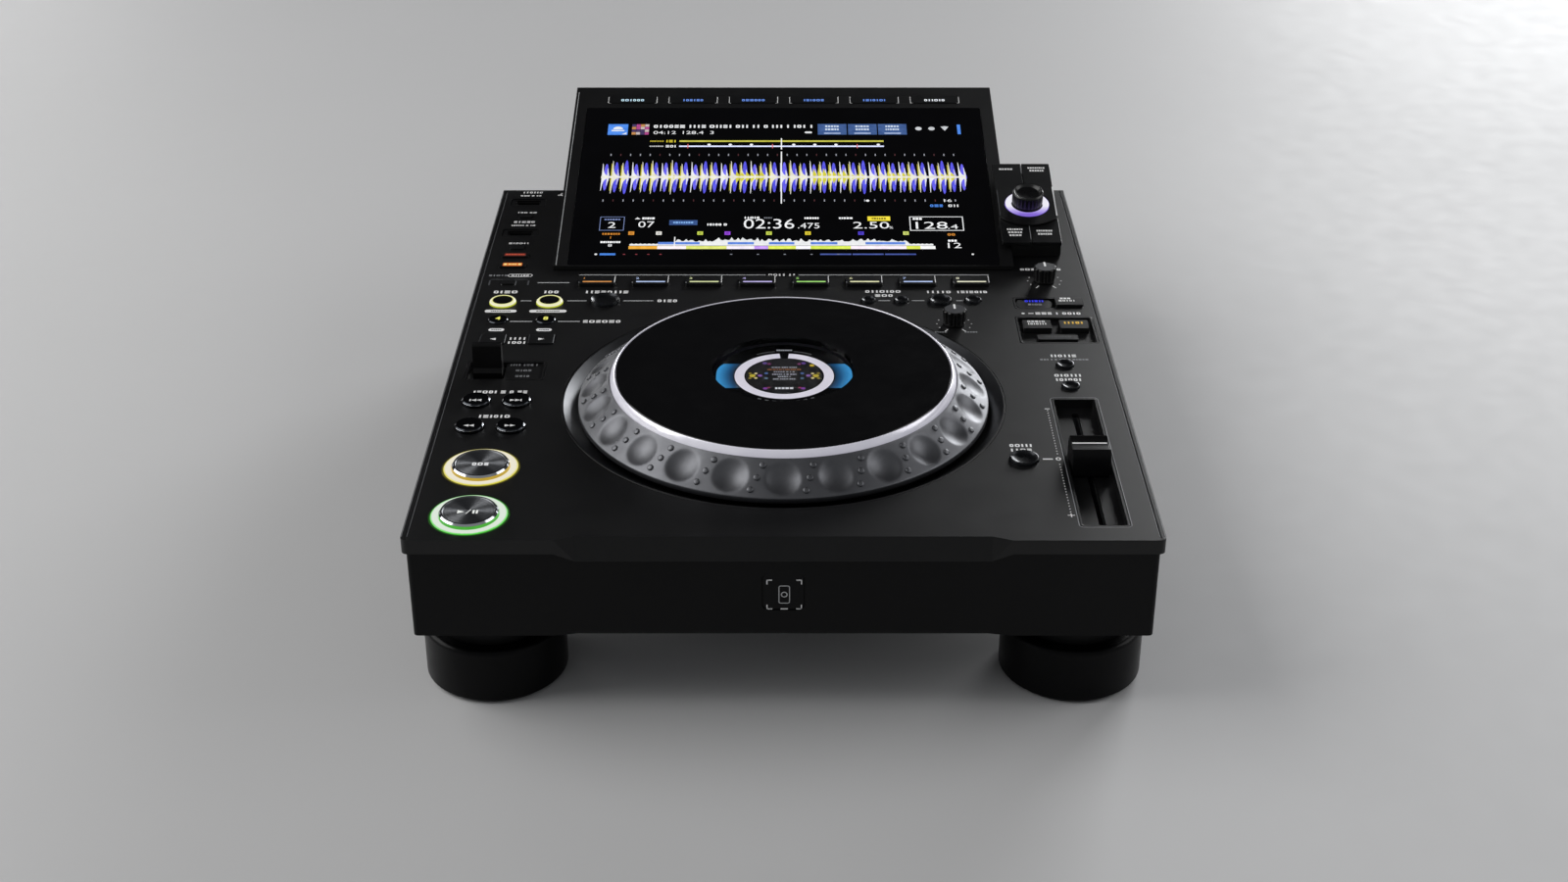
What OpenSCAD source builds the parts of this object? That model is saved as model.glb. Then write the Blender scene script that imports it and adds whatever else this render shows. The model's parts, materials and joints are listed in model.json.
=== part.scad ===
// Tabletop media player: a flat deck with a jog wheel, a tilted screen, keys, knobs and a fader.
// The origin is at the middle of the footprint, on the surface that the feet stand on.
// +X is to the right of the person who plays, +Y is away from that person, +Z is up.
// Deck positions are given as [x, y], where y is the distance behind the deck's front edge.

/* [Case] */
// Width of the deck and of the whole object
body_w = 329; // [300:1:400]
// Depth of the flat part of the deck
deck_d = 397; // [390:1:480]
// Depth of the sloping shoulder behind the flat part of the deck
case_run = 27; // [20:1:60]
// Height of the deck above the surface that the feet stand on
deck_h = 90; // [80:1:120]
// Height of the case's underside
case_lift = 40; // [34:1:44]
// Thickness of the deck's plate
deck_t = 2.5; // [2:0.1:3]
// Height of the trim that hangs from the deck's edge
trim_h = 7; // [5:0.5:9]
// Thickness of the trim
trim_t = 2.2; // [1.8:0.1:2.6]
// How far the case's walls stand inside the deck's edge
case_inset = 1.8; // [1:0.1:3]
// Thickness of the case's walls
wall = 2.5; // [2:0.1:4]
// Height that the deck loses over its rear shoulder
shoulder_drop = 12; // [8:1:16]
// Half width of the chamfered nose in the middle of the front
nose_half = 90; // [60:1:110]
// Width of the facet at each end of the nose
nose_side = 9; // [5:1:15]
// Depth of the nose's chamfer at the deck
nose_back = 3.3; // [2:0.1:4]
// Height of the nose
nose_h = 10.5; // [9:0.5:14]
// Width of the flat land below the nose's chamfer
nose_land = 0.3; // [0.2:0.1:1]
// Radius of the deck's corners, seen from above
deck_corner = 3; // [2:0.1:4]
// Half width of the raised part of the case's lower front edge
chin_half = 90; // [60:1:110]
// Width of the slanted piece at each end of that raised part
chin_side = 11; // [6:1:16]
// Depth of the chamfer on the raised part
chin_back = 1.8; // [1:0.1:2]
// Height of the chamfer on the raised part
chin_h = 3; // [2:0.1:4]
// Width of the groove along each side of the deck
groove_w = 0.6; // [0.3:0.1:1]
// Depth of that groove
groove_depth = 0.5; // [0.3:0.1:1]
// Distance of that groove from the deck's edge
groove_in = 2; // [1.5:0.1:4]
// Gap between parts that don't touch
gap = 0.3; // [0.2:0.05:0.4]
// Radial play of a shaft in its bore
play = 0.05; // [0.03:0.01:0.08]

/* [Feet] */
// Radius of each rubber foot
foot_r = 32.4; // [24:0.2:40]
// Height of each rubber foot
foot_h = 28; // [20:0.5:30]
// Distance from the front edge to the front feet, and from the rear wall to the rear feet
foot_y = 38.5; // [34:0.5:60]

/* [Jog wheel] */
// Radius of the jog wheel
jog_r = 98.5; // [75:0.5:104]
// Distance of the jog wheel's centre from the front edge
jog_y = 133; // [120:1:145]
// Width of the sloping dimpled ring
ring_w = 15.3; // [12:0.1:18]
// Width of the bright band inside the ring
band_w = 2.5; // [1.5:0.1:4]
// Height of the wheel's top above the deck
jog_rise = 15.7; // [12:0.1:20]
// Gap between the wheel and the top of its well
well_gap = 8; // [6:0.5:10]
// Depth of the well
well_depth = 6; // [5:0.5:7]
// Number of finger dimples
dimple_count = 24; // [12:1:28]
// Radius of the mouth of a dimple
dimple_r = 8.1; // [5:0.1:8.5]
// Depth of a dimple
dimple_depth = 2.2; // [1:0.1:3]
// Radius of the clear lens in the middle
lens_r = 34; // [28:0.5:40]
// Radius of the fixed post that the wheel turns on
post_r = 22; // [18:0.5:25]
// Height of the outer edge of the sloping ring above the deck
ring_low = 0.6; // [0.4:0.1:2]
// Height of the inner edge of the sloping ring above the deck
ring_high = 12.6; // [9:0.1:14]
// Travel of the wheel's top plate when it is pressed
plate_travel = 0.5; // [0.3:0.1:1]

/* [Screen] */
// Width of the screen housing
screen_w = 249.4; // [200:0.2:250]
// Length of the screen housing along its slope
screen_len = 183.5; // [170:0.5:200]
// Slope of the screen
screen_tilt = 11.94; // [8:0.01:14]
// Distance of the screen's front edge ahead of the rear edge of the flat deck
screen_reach = 115; // [100:1:130]
// Height of the lip at the screen's front edge
screen_lip = 2.6; // [2:0.1:4]
// Width of the bare housing at each side of the glass
bezel_w = 7.7; // [5:0.1:12]
// Thickness of the glass
glass_t = 1.1; // [0.8:0.1:1.5]
// Width of a menu key
menu_key_w = 28; // [20:0.5:30]
// Depth of a menu key
menu_key_d = 8.3; // [6:0.1:10]
// Distance between the menu keys
menu_pitch = 36.2; // [32:0.1:38]

/* [Browse pod] */
// Width of the pod
pod_w = 32.5; // [28:0.5:34]
// Length of the pod along the screen's slope
pod_len = 77.5; // [60:0.5:80]
// Distance of the pod's front edge from the screen's front edge, along the slope
pod_front = 16; // [14:0.5:22]
// Radius of the pod's bowed front and rear edges
pod_bow = 54; // [40:1:80]
// Radius of the raised round platform under the browse knob
platform_r = 20; // [17:0.5:22]
// How far the pod covers the screen's side
pod_cover = 5.2; // [3:0.1:7]
// Height of the pod's keys above the screen
pod_rise = 4.3; // [3:0.1:6]
// Distance of the browse knob from the screen's front edge, along the slope
browse_v = 51.3; // [48:0.1:56]
// Radius of the browse knob
browse_r = 8.5; // [6:0.1:10]
// Height of the browse knob
browse_h = 7.8; // [7.4:0.1:12]

/* [Keys] */
// Diameter of the cap of the two large keys
big_key_d = 26; // [20:0.5:28]
// Width of the lit ring around a large key
big_ring_w = 4.3; // [3:0.1:5]
// Height of the large keys above the deck
big_rise = 2.6; // [1.5:0.1:4]
// Travel of the large keys
big_travel = 1.2; // [0.8:0.1:1.5]
// Travel of the small keys
key_travel = 0.8; // [0.4:0.1:1]
// Width of the flange that keeps a key under the deck
flange_w = 1.2; // [0.8:0.1:1.6]
// Width of a cue-point key
pad_w = 19.5; // [15:0.5:22]
// Depth of a cue-point key
pad_d = 10.8; // [8:0.1:14]
// Distance between the cue-point keys
pad_pitch = 28.57; // [26:0.01:30]

/* [Fader] */
// Distance that the fader's cap travels each way
fader_reach = 47.5; // [38:0.5:48]
// Width of the fader's cap
cap_w = 17.5; // [12:0.5:18]
// Depth of the fader's cap
cap_d = 18; // [14:0.5:22]
// Height of the fader's cap above the deck
cap_rise = 9; // [6:0.5:12]
// Width of the fader's well
fader_w = 21.6; // [18:0.1:24]
// Depth of the fader's well below the deck
fader_depth = 4.5; // [3:0.1:6]

/* [Knobs] */
// Radius of the two small knobs
knob_r = 6.1; // [4:0.1:7]
// Height of the two small knobs above the deck
knob_h = 8.4; // [7:0.1:16]
// How much slimmer a small knob is at its foot
knob_taper = 0.6; // [0:0.1:1]
// Radius of a knob's shaft
shaft_r = 3; // [2.5:0.1:3.5]

/* [Hidden] */
$fn = 96;

BLACK = "#17181a";
CHARCOAL = "#242527";
SILVER = "#8b8e92";
RUBBER = "#101010";

// Overall size
case_d = deck_d + case_run;
screen_y = deck_d - screen_reach;
screen_z = deck_h + screen_lip;
overall_d = screen_y + screen_len * cos(screen_tilt);
mid_y = overall_d / 2;
left_x = -body_w / 2;
right_x = body_w / 2;
tiny = 0.01;
reach = 900;
slope_rise = tan(screen_tilt);

// Depths below the deck's surface
plate_bottom = -deck_t;
flange_top = plate_bottom - gap;
flange_t = 1.2;
key_bottom = flange_top - flange_t;
board_top = -8.6;
board_t = 1.6;
big_ring_r = big_key_d / 2 + gap + big_ring_w;
big_key_low = key_bottom + 0.2 - gap;
big_flange_t = 1.2;

// Places of the keys on the left of the deck
row_a = 17.1;
row_b = 41.7;
loop_in_at = [left_x + row_a, 241.2];
loop_out_at = [left_x + row_b, 241.2];
reloop_at = [left_x + 70.7, 243];
beat_loop_at = [[left_x + row_a, 219.6], [left_x + row_b, 219.6]];
beat_jump_back_at = [left_x + row_a, 196.5];
beat_jump_forward_at = [left_x + row_b, 196.5];
lever_at = [left_x + 27.4, 161.6];
track_back_at = [left_x + row_a, 128];
track_forward_at = [left_x + 36.5, 128];
search_back_at = [left_x + row_a, 102.3];
search_forward_at = [left_x + 36.5, 102.3];
cue_at = [left_x + 27.2, 64];
play_at = [left_x + 27.2, 21.5];
usb_at = [[left_x + 16.4, deck_d - 18.3], [left_x + 16.4, deck_d - 63]];
stop_at = [[left_x + 17.1, deck_d - 39.4], [left_x + 17.1, deck_d - 84.3]];
quantize_at = [left_x + 17.1, deck_d - 95.7];
slip_at = [left_x + 17.1, deck_d - 108.9];
time_at = [left_x + 17.1, deck_d - 131];

// Places of the keys on the right of the deck
tempo_x = right_x - 24.8;
call_at = [[44.7, 243.3], [62.1, 243.3]];
delete_at = [82.4, 243];
memory_at = [99.8, 243.6];
jog_adjust_at = [87.9, 215];
vinyl_speed_at = [right_x - 24.6, 268.3];
mode_at = [right_x - 25.5, 240.2];
mode_key_at = [right_x - 14.8, 240.2];
mode_lamp_at = [right_x - 32.9, 240.2];
sync_at = [tempo_x + 0.2, 207.9];
sync_left_at = [sync_at[0] - 9.6, sync_at[1] + 5.6];
sync_right_at = [sync_at[0] + 9.4, sync_at[1] + 5.6];
sync_bar_at = [sync_at[0] - 0.4, sync_at[1] - 8.8];
tempo_range_at = [tempo_x, 167.8];
master_tempo_at = [tempo_x + 0.1, 144.7];
reset_at = [right_x - 54.4, 71.6];
fader_at = [tempo_x, 71.7];

// Sizes of the keys
loop_key_d = 13.8;
reloop_d = 15.5;
beat_loop_d = 10.3;
jump_size = [13.4, 10.6];
search_key_d = 13.4;
stop_size = [7.9, 5.6];
quantize_size = [14.9, 5];
slip_size = [14.9, 5.4];
time_size = [7.3, 5.3];
call_d = 7.5;
delete_d = 11.8;
memory_d = 8.7;
range_d = 8.7;
reset_d = 13.3;
mode_key_size = [14.2, 9];
mode_lamp_size = [18.5, 7];
sync_key_size = [14.6, 9.6];
sync_bar_size = [20.4, 5.6];
mode_tray = [36, 13.4];
sync_tray = [39.7, 31];
lever_tray = [38.8, 20.3];
usb_size = [19.4, 9.4];
pad_rise = 1.7;
tray_depth = 2.2;
tray_wall = 1;
tray_t = 1.5;
fader_slot = 2 * fader_reach + 10;
fader_len = 2 * fader_reach + 25;
stem_w = 1.4;

ROUND_KEYS = [[loop_in_at, loop_key_d], [loop_out_at, loop_key_d], [reloop_at, reloop_d],
    [beat_loop_at[0], beat_loop_d], [beat_loop_at[1], beat_loop_d], [track_back_at, search_key_d],
    [track_forward_at, search_key_d], [search_back_at, search_key_d], [search_forward_at, search_key_d],
    [call_at[0], call_d], [call_at[1], call_d], [delete_at, delete_d], [memory_at, memory_d],
    [tempo_range_at, range_d], [master_tempo_at, range_d], [reset_at, reset_d]];
FLAT_KEYS = concat([[beat_jump_back_at, jump_size], [beat_jump_forward_at, jump_size],
    [stop_at[0], stop_size], [stop_at[1], stop_size], [quantize_at, quantize_size],
    [slip_at, slip_size], [time_at, time_size]],
    [for (i = [0:7]) [pad_place(i), [pad_w, pad_d]]]);
TRAYS = [[mode_at, mode_tray], [sync_at, sync_tray], [lever_at, lever_tray],
    [fader_at, [fader_w, fader_len]]];
BIG_KEYS = [cue_at, play_at];

function pad_place(i) = [(i - 3.5) * pad_pitch + 0.3, screen_y - 15.6];

// Frames
module on_deck(at) translate([at[0], at[1] - mid_y, deck_h]) children();
module on_screen(x, v) translate([x, screen_y - mid_y, screen_z]) rotate([screen_tilt, 0, 0])
    translate([0, v, 0]) children();
module along_x(width) rotate([90, 0, 90]) linear_extrude(width, center = true) children();
module turned(profile) rotate_extrude() polygon(profile);

// Flat outlines with true round corners
module rounded(size, r) {
    square([size[0] - 2 * r, size[1]], center = true);
    square([size[0], size[1] - 2 * r], center = true);
    for (sx = [-1, 1], sy = [-1, 1])
        translate([sx * (size[0] / 2 - r), sy * (size[1] / 2 - r)]) circle(r);
}

module slab(size, low, high, r = 1) translate([0, 0, low]) linear_extrude(high - low) rounded(size, r);

module tube(outer, inner, low, high) difference() {
    translate([0, 0, low]) cylinder(r = outer, h = high - low);
    translate([0, 0, low - 1]) cylinder(r = inner, h = high - low + 2);
}

// A round key with a soft edge, and a dish where it has one
module round_key(d, rise, dish = 0) {
    edge = 0.5;
    dish_r = (d * d / 4 + dish * dish) / (2 * max(dish, tiny));
    difference() {
        turned([[0, key_bottom], [d / 2 + flange_w, key_bottom], [d / 2 + flange_w, flange_top],
            [d / 2, flange_top], [d / 2, rise - edge], [d / 2 - edge, rise], [0, rise]]);
        if (dish > 0) translate([0, 0, rise - dish + dish_r]) sphere(dish_r);
    }
}

module flat_key(size, rise, r = 0.8) {
    slab(size, flange_top - tiny, rise, r);
    slab(size + 2 * [flange_w, 0.8], key_bottom, flange_top, r);
}

// The deck's top line and the same line lowered, seen from the side
function top_line(drop, front, rear) = [[front, deck_h - drop], [deck_d, deck_h - drop],
    [rear, deck_h - shoulder_drop * (rear - deck_d) / case_run - drop]];
function band(high, low, front, rear) = concat(top_line(high, front, rear),
    [for (i = [2:-1:0]) top_line(low, front, rear)[i]]);

module side_band(high, low, front, rear) translate([-mid_y, 0]) polygon(band(high, low, front, rear));

// The space in front of a chamfer on a front edge, with a facet at each of its ends
module chamfer_space(half, side, back, height) {
    side_turn = atan2(-back, side);
    side_lean = atan2(back * cos(side_turn), height);
    intersection() {
        translate([0, back, 0]) rotate([-atan2(back, height), 0, 0])
            translate([-reach, -reach, -reach]) cube([2 * reach, reach, 2 * reach]);
        for_both_ends() translate([half, back, 0]) rotate([0, 0, side_turn])
            rotate([-side_lean, 0, 0])
            translate([-reach, -reach, -reach]) cube([2 * reach, reach, 2 * reach]);
    }
}

module for_both_ends() intersection() {
    children();
    mirror([1, 0, 0]) children();
}

module nose_outline(low) polygon([[-nose_half - nose_side, deck_h - trim_h - low],
    [-nose_half, deck_h - nose_h - low], [nose_half, deck_h - nose_h - low],
    [nose_half + nose_side, deck_h - trim_h - low], [nose_half + nose_side, deck_h],
    [-nose_half - nose_side, deck_h]]);

module facing_front(y, depth) translate([0, y + depth - mid_y, 0]) rotate([90, 0, 0])
    linear_extrude(depth) children();

// Places of the board's standoffs
STANDOFFS = [[left_x + 9, 9], [right_x - 9, 9], [left_x + 9, 180], [right_x - 9, 186],
    [-60, 9], [60, 9], [-26, 254], [26, 254]];

module deck_holes() {
    for (key = ROUND_KEYS) on_deck(key[0]) translate([0, 0, -20])
        cylinder(d = key[1] + 2 * gap, h = 40);
    for (key = FLAT_KEYS) on_deck(key[0]) slab(key[1] + 2 * [gap, gap], -20, 20, 1);
    for (tray = TRAYS) on_deck(tray[0]) slab(tray[1] + 2 * [gap, gap], -20, 20, 1.5 + gap);
    for (at = usb_at) on_deck(at) slab(usb_size + 2 * [gap, gap], -20, 20, 1 + gap);
    for (at = BIG_KEYS) on_deck(at) translate([0, 0, -20])
        cylinder(r = big_ring_r + gap, h = 40);
    for (at = [jog_adjust_at, vinyl_speed_at]) on_deck(at) translate([0, 0, -20])
        cylinder(r = shaft_r + gap, h = 40);
    on_deck([0, jog_y]) translate([0, 0, -20]) cylinder(r = jog_r + well_gap + gap, h = 40);
}

tub_front = 6;
tub_rear = 6;
tub_depth = 10;
tub_half = screen_w / 2 - 7;

// An upright block with round corners that stands a margin inside the deck's outline
module footprint(margin, corner) translate([0, case_d / 2 - mid_y, 0])
    linear_extrude(deck_h + 1) rounded([body_w - 2 * margin, case_d - 2 * margin], corner);

// The deck's plate with the trim around its edge
module deck_shell() intersection() {
    footprint(0, deck_corner);
    union() {
        along_x(body_w) side_band(0, deck_t, 0, case_d);
        for (side = [-1, 1]) translate([side * (body_w - trim_t) / 2, 0, 0])
            along_x(trim_t) side_band(0, trim_h, 0, case_d);
        facing_front(0, trim_t) translate([-body_w / 2, deck_h - trim_h]) square([body_w, trim_h]);
        facing_front(case_d - trim_t, trim_t) translate([-body_w / 2, deck_h - shoulder_drop - trim_h])
            square([body_w, trim_h]);
    }
}

module top_panel() color(CHARCOAL) difference() {
    union() {
        deck_shell();
        facing_front(0, nose_back + trim_t) nose_outline(0);
        for (at = STANDOFFS) on_deck(at) translate([0, 0, board_top]) cylinder(r = 3, h = -board_top - 1);
    }
    translate([0, -mid_y, deck_h])
        chamfer_space(nose_half, nose_side - nose_land, nose_back, nose_h - nose_land);
    deck_holes();
    for (side = [-1, 1]) on_deck([side * (body_w / 2 - groove_in - groove_w / 2), deck_d / 2])
        translate([-groove_w / 2, groove_in - deck_d / 2, -groove_depth])
            cube([groove_w, deck_d - groove_in, 20]);
    translate([-tub_half - gap, screen_y + tub_front - gap - mid_y, deck_h - 30])
        cube([2 * (tub_half + gap), screen_reach - tub_front - tub_rear + 2 * gap, 60]);
}

// Lower case
case_half = body_w / 2 - case_inset;
inner_half = case_half - wall;
lip_half = body_w / 2 - trim_t - gap;
case_corner = deck_corner - 0.8;
rear_low = deck_h - shoulder_drop - trim_h - gap;
panel_margin = 12;
window_low = case_lift + 5.8;
window_high = rear_low - 3;
cover_t = 1.2;
ledge_w = 9;
SCREWS = [for (x = [-1, 0, 1], y = [0, 1]) [x * (inner_half - 4.5), y == 0 ? 8.5 : case_d - 11]];

module case_ring(outer_half, outer_front, outer_rear, low, high) translate([0, -mid_y, 0])
    difference() {
        translate([-outer_half, outer_front, low])
            cube([2 * outer_half, outer_rear - outer_front, high - low]);
        translate([-inner_half, case_inset + wall, low - 1])
            cube([2 * inner_half, case_d - 2 * (case_inset + wall), high - low + 2]);
    }

module lower_case() color(BLACK) difference() {
    union() {
        intersection() {
            case_ring(case_half, case_inset, case_d - case_inset, case_lift, deck_h);
            footprint(case_inset, case_corner);
            along_x(body_w) side_band(trim_h + gap, deck_h - case_lift, 0, case_d);
        }
        intersection() {
            case_ring(lip_half, trim_t + gap, case_d - trim_t - gap, case_lift, deck_h);
            along_x(body_w) side_band(deck_t + gap, deck_h - case_lift, 0, case_d);
        }
        translate([0, -mid_y, 0]) difference() {
            translate([-inner_half - 1, case_inset + 1, case_lift + cover_t + gap])
                cube([2 * inner_half + 2, case_d - 2 * case_inset - 2, wall]);
            translate([-inner_half + ledge_w, case_inset + wall + ledge_w, 0])
                cube([2 * (inner_half - ledge_w), case_d - 2 * (case_inset + wall + ledge_w), reach]);
        }
        for (at = SCREWS) on_deck(at) translate([0, 0, case_lift + cover_t + gap - deck_h])
            cylinder(r = 3.8, h = 7);
    }
    facing_front(-1, nose_back + trim_t + gap + 1) nose_outline(gap);
    translate([0, case_inset - mid_y, case_lift]) mirror([0, 0, 1])
        chamfer_space(chin_half, chin_side, chin_back, chin_h);
    translate([-reach, case_d - trim_t - gap - mid_y, rear_low]) cube([2 * reach, 20, 40]);
    facing_front(case_d - 20, 40) translate([-body_w / 2 + panel_margin, window_low])
        square([body_w - 2 * panel_margin, window_high - window_low]);
    badge_hole();
    for (at = SCREWS) on_deck(at) translate([0, 0, case_lift - 5 - deck_h]) cylinder(r = 1.5, h = 11.5);
    for (at = BIG_KEYS) on_deck(at) translate([0, 0, key_bottom - 3])
        cylinder(r = big_ring_r + 1.4 + gap, h = 20);
}

badge_size = 18;
badge_z = case_lift + 22.6;
badge_t = 1.5;
badge_corner = 2.5;
module badge_hole() facing_front(case_inset - 1, 1 + badge_t) translate([0, badge_z])
    rounded([badge_size + 2 * gap, badge_size + 2 * gap], badge_corner + gap);
module front_badge() color("#1c1d1f") facing_front(case_inset + 0.5, badge_t - 0.5)
    translate([0, badge_z]) rounded([badge_size, badge_size], badge_corner);

module bottom_cover() color("#2b2c2e") difference() {
    translate([-inner_half - wall + 1.2, case_inset + 1.2 - mid_y, case_lift])
        cube([2 * (inner_half + wall - 1.2), case_d - 2 * (case_inset + 1.2), cover_t]);
    for (at = SCREWS) on_deck(at) translate([0, 0, case_lift - 5 - deck_h]) cylinder(r = 1.8, h = 10);
    difference() {
        translate([-reach, -reach - mid_y, case_lift - 1]) cube([2 * reach, 2 * reach, cover_t + 2]);
        translate([-inner_half + gap, case_inset + wall + gap - mid_y, case_lift - 2])
            cube([2 * (inner_half - gap), case_d - 2 * (case_inset + wall + gap), cover_t + 4]);
    }
}

module screws() color(SILVER) for (at = SCREWS) on_deck(at) translate([0, 0, case_lift - deck_h]) {
    translate([0, 0, -1.6]) cylinder(r = 2.8, h = 1.6);
    translate([0, 0, -tiny]) cylinder(r = 1.4, h = 6);
}

// Feet
FEET = [for (sx = [-1, 1], y = [foot_y, case_d - foot_y]) [sx * (body_w / 2 - foot_r - 0.1), y]];
foot_edge = 2.6;
foot_steps = 5;
module feet() color(RUBBER) for (at = FEET) translate([at[0], at[1] - mid_y, 0])
    turned(concat([[0, 0], [foot_r - 2.2, 0], [foot_r - 2.2, 1.4], [foot_r - 0.6, 1.4], [foot_r, 2.2]],
        [for (i = [0:foot_steps]) [foot_r - foot_edge * (1 - cos(90 * i / foot_steps)),
            foot_h - foot_edge * (1 - sin(90 * i / foot_steps))]],
        [[0, foot_h]]));
module foot_necks() color(BLACK) for (at = FEET) translate([at[0], at[1] - mid_y, foot_h])
    cylinder(r = foot_r - 6, h = case_lift - foot_h);

// Rear of the case
rear_inner = case_d - case_inset - wall;
plate_t = 1.2;
socket_z = (window_low + window_high) / 2;
rear_plate_y = rear_inner - gap - plate_t;
RCA = [-8, 8, 30];
lan_x = 62;
host_x = 92;
inlet_x = -118;
switch_x = -78;

module behind(x, y) translate([x, y - mid_y, socket_z]) rotate([-90, 0, 0]) children();
module behind_box(x, y, w, h, len) translate([x - w / 2, y - mid_y, socket_z - h / 2]) cube([w, len, h]);

module rear_panel() color("#303133") difference() {
    translate([-body_w / 2 + panel_margin - 3, rear_plate_y - mid_y, window_low - 1.2])
        cube([body_w - 2 * panel_margin + 6, plate_t, window_high - window_low + 3.4]);
    for (x = RCA) behind(x, rear_plate_y - 5) cylinder(r = 5 + gap, h = 10);
    behind_box(lan_x, rear_plate_y - 5, 16 + 2 * gap, 13.4 + 2 * gap, 10);
    behind_box(host_x, rear_plate_y - 5, 12 + 2 * gap, 11 + 2 * gap, 10);
    behind_box(inlet_x, rear_plate_y - 5, 27.6 + 2 * gap, 19.8 + 2 * gap, 10);
    behind_box(switch_x, rear_plate_y - 5, 13 + 2 * gap, 13 + 2 * gap, 10);
}

// Signal sockets: three phono jacks, one network jack and one square data jack
module rear_sockets() color("#1d1d1f") {
    for (x = RCA) difference() {
        union() {
            behind(x, rear_plate_y - 12) cylinder(r = 5, h = 17);
            behind(x, rear_plate_y + 5 - tiny) cylinder(r = 4.2, h = 7);
        }
        behind(x, rear_plate_y - 1) cylinder(r = 1.6, h = 20);
    }
    difference() {
        behind_box(lan_x, rear_plate_y - 14, 16, 13.4, 18);
        behind_box(lan_x, rear_plate_y - 10, 11.8, 8.4, 20);
    }
    difference() {
        behind_box(host_x, rear_plate_y - 14, 12, 11, 18);
        behind_box(host_x, rear_plate_y - 5, 8.6, 7.8, 20);
    }
    behind_box(host_x, rear_plate_y - 6, 5.6, 3.2, 8);
}

// Mains inlet with three blades
module ac_inlet() color("#121212") {
    difference() {
        behind_box(inlet_x, rear_plate_y - 20, 27.6, 19.8, 24);
        behind_box(inlet_x, rear_plate_y - 16, 24.2, 16.4, 30);
    }
    for (blade = [-7, 0, 7]) translate([0, 0, blade == 0 ? 2 : -2])
        behind_box(inlet_x + blade, rear_plate_y - 17, 2, 4, 13);
}

module power_switch() color("#0e0e0e") {
    behind_box(switch_x, rear_plate_y - 9, 12.8, 12.8, 13);
    behind_box(switch_x, rear_plate_y - 3 - gap, 15, 15, 3);
}

// Boards inside
module main_board() color("#1d5a38") {
    difference() {
        on_deck([0, 0]) translate([0, 0, board_top - board_t]) difference() {
            union() {
                translate([-inner_half + 2.5, 7]) cube([2 * inner_half - 5, screen_y - 10, board_t]);
                translate([-inner_half + 2.5, 7]) cube([inner_half - tub_half - 4, deck_d - 15, board_t]);
            }
            translate([0, jog_y, -10]) cylinder(r = jog_r + well_gap + 5, h = 30);
        }
        for (tray = TRAYS) on_deck(tray[0]) slab(tray[1] + [6, 6], -30, 20, 2);
        for (at = usb_at) on_deck(at) slab(usb_size + [1, 1], -30, 20, 1);
        for (at = [jog_adjust_at, vinyl_speed_at]) on_deck(at)
            translate([0, 0, -30]) cylinder(r = shaft_r + gap, h = 50);
        for (at = STANDOFFS) on_deck(at) translate([0, 0, -30]) cylinder(r = 1.2, h = 29);
    }
    for (key = concat(ROUND_KEYS, FLAT_KEYS)) on_deck(key[0])
        translate([0, 0, board_top - tiny]) cylinder(r = 1.8, h = -board_top + key_bottom - key_travel - gap);
    for (at = BIG_KEYS) on_deck(at) translate([0, 0, board_top - tiny])
        cylinder(r = 4, h = big_key_low - big_flange_t - big_travel - gap - board_top);
    for (at = [jog_adjust_at, vinyl_speed_at]) on_deck(at) tube(5.8, shaft_r + gap, board_top - tiny, -3.6);
}

supply = [96, 64, 24];
module power_supply() color("#9aa0a4") {
    translate([-128, case_d - 112 - mid_y, case_lift + cover_t + 1.6]) cube(supply);
    for (x = [-122, -38], y = [6, supply[1] - 6])
        translate([x, case_d - 112 + y - mid_y, case_lift + cover_t]) cylinder(r = 3, h = 1.7);
}

// Deck sockets with a tongue inside
module usb_ports() color("#0c0c0d") for (at = usb_at) on_deck(at) {
    difference() {
        slab(usb_size, -13, -0.4, 1);
        slab([14.2, 6.4], -1.4, 2, 0.6);
        slab([12.4, 4.8], -11, 2, 0.4);
    }
    translate([-5.6, 0.1, -11.5]) cube([11.2, 1.7, 8.6]);
    difference() {
        slab(usb_size + [2.4, 2.4], -5.5, flange_top, 1.5);
        slab(usb_size - [1, 1], -6, 0, 1);
    }
}

// Trays under the mode keys, the sync keys, the lever and the fader
module tray(size, depth, slots) difference() {
    union() {
        slab(size, -depth - tray_t, 0, 1.5);
        slab(size + [0, 3], -depth - tray_t - 0.4, flange_top, 1.5);
    }
    slab(size - 2 * [tray_wall, tray_wall], -depth, 2, 1);
    for (slot = slots) translate(slot[0]) slab(slot[1] + 2 * [gap, gap], -20, 0, 0.8);
}

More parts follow.
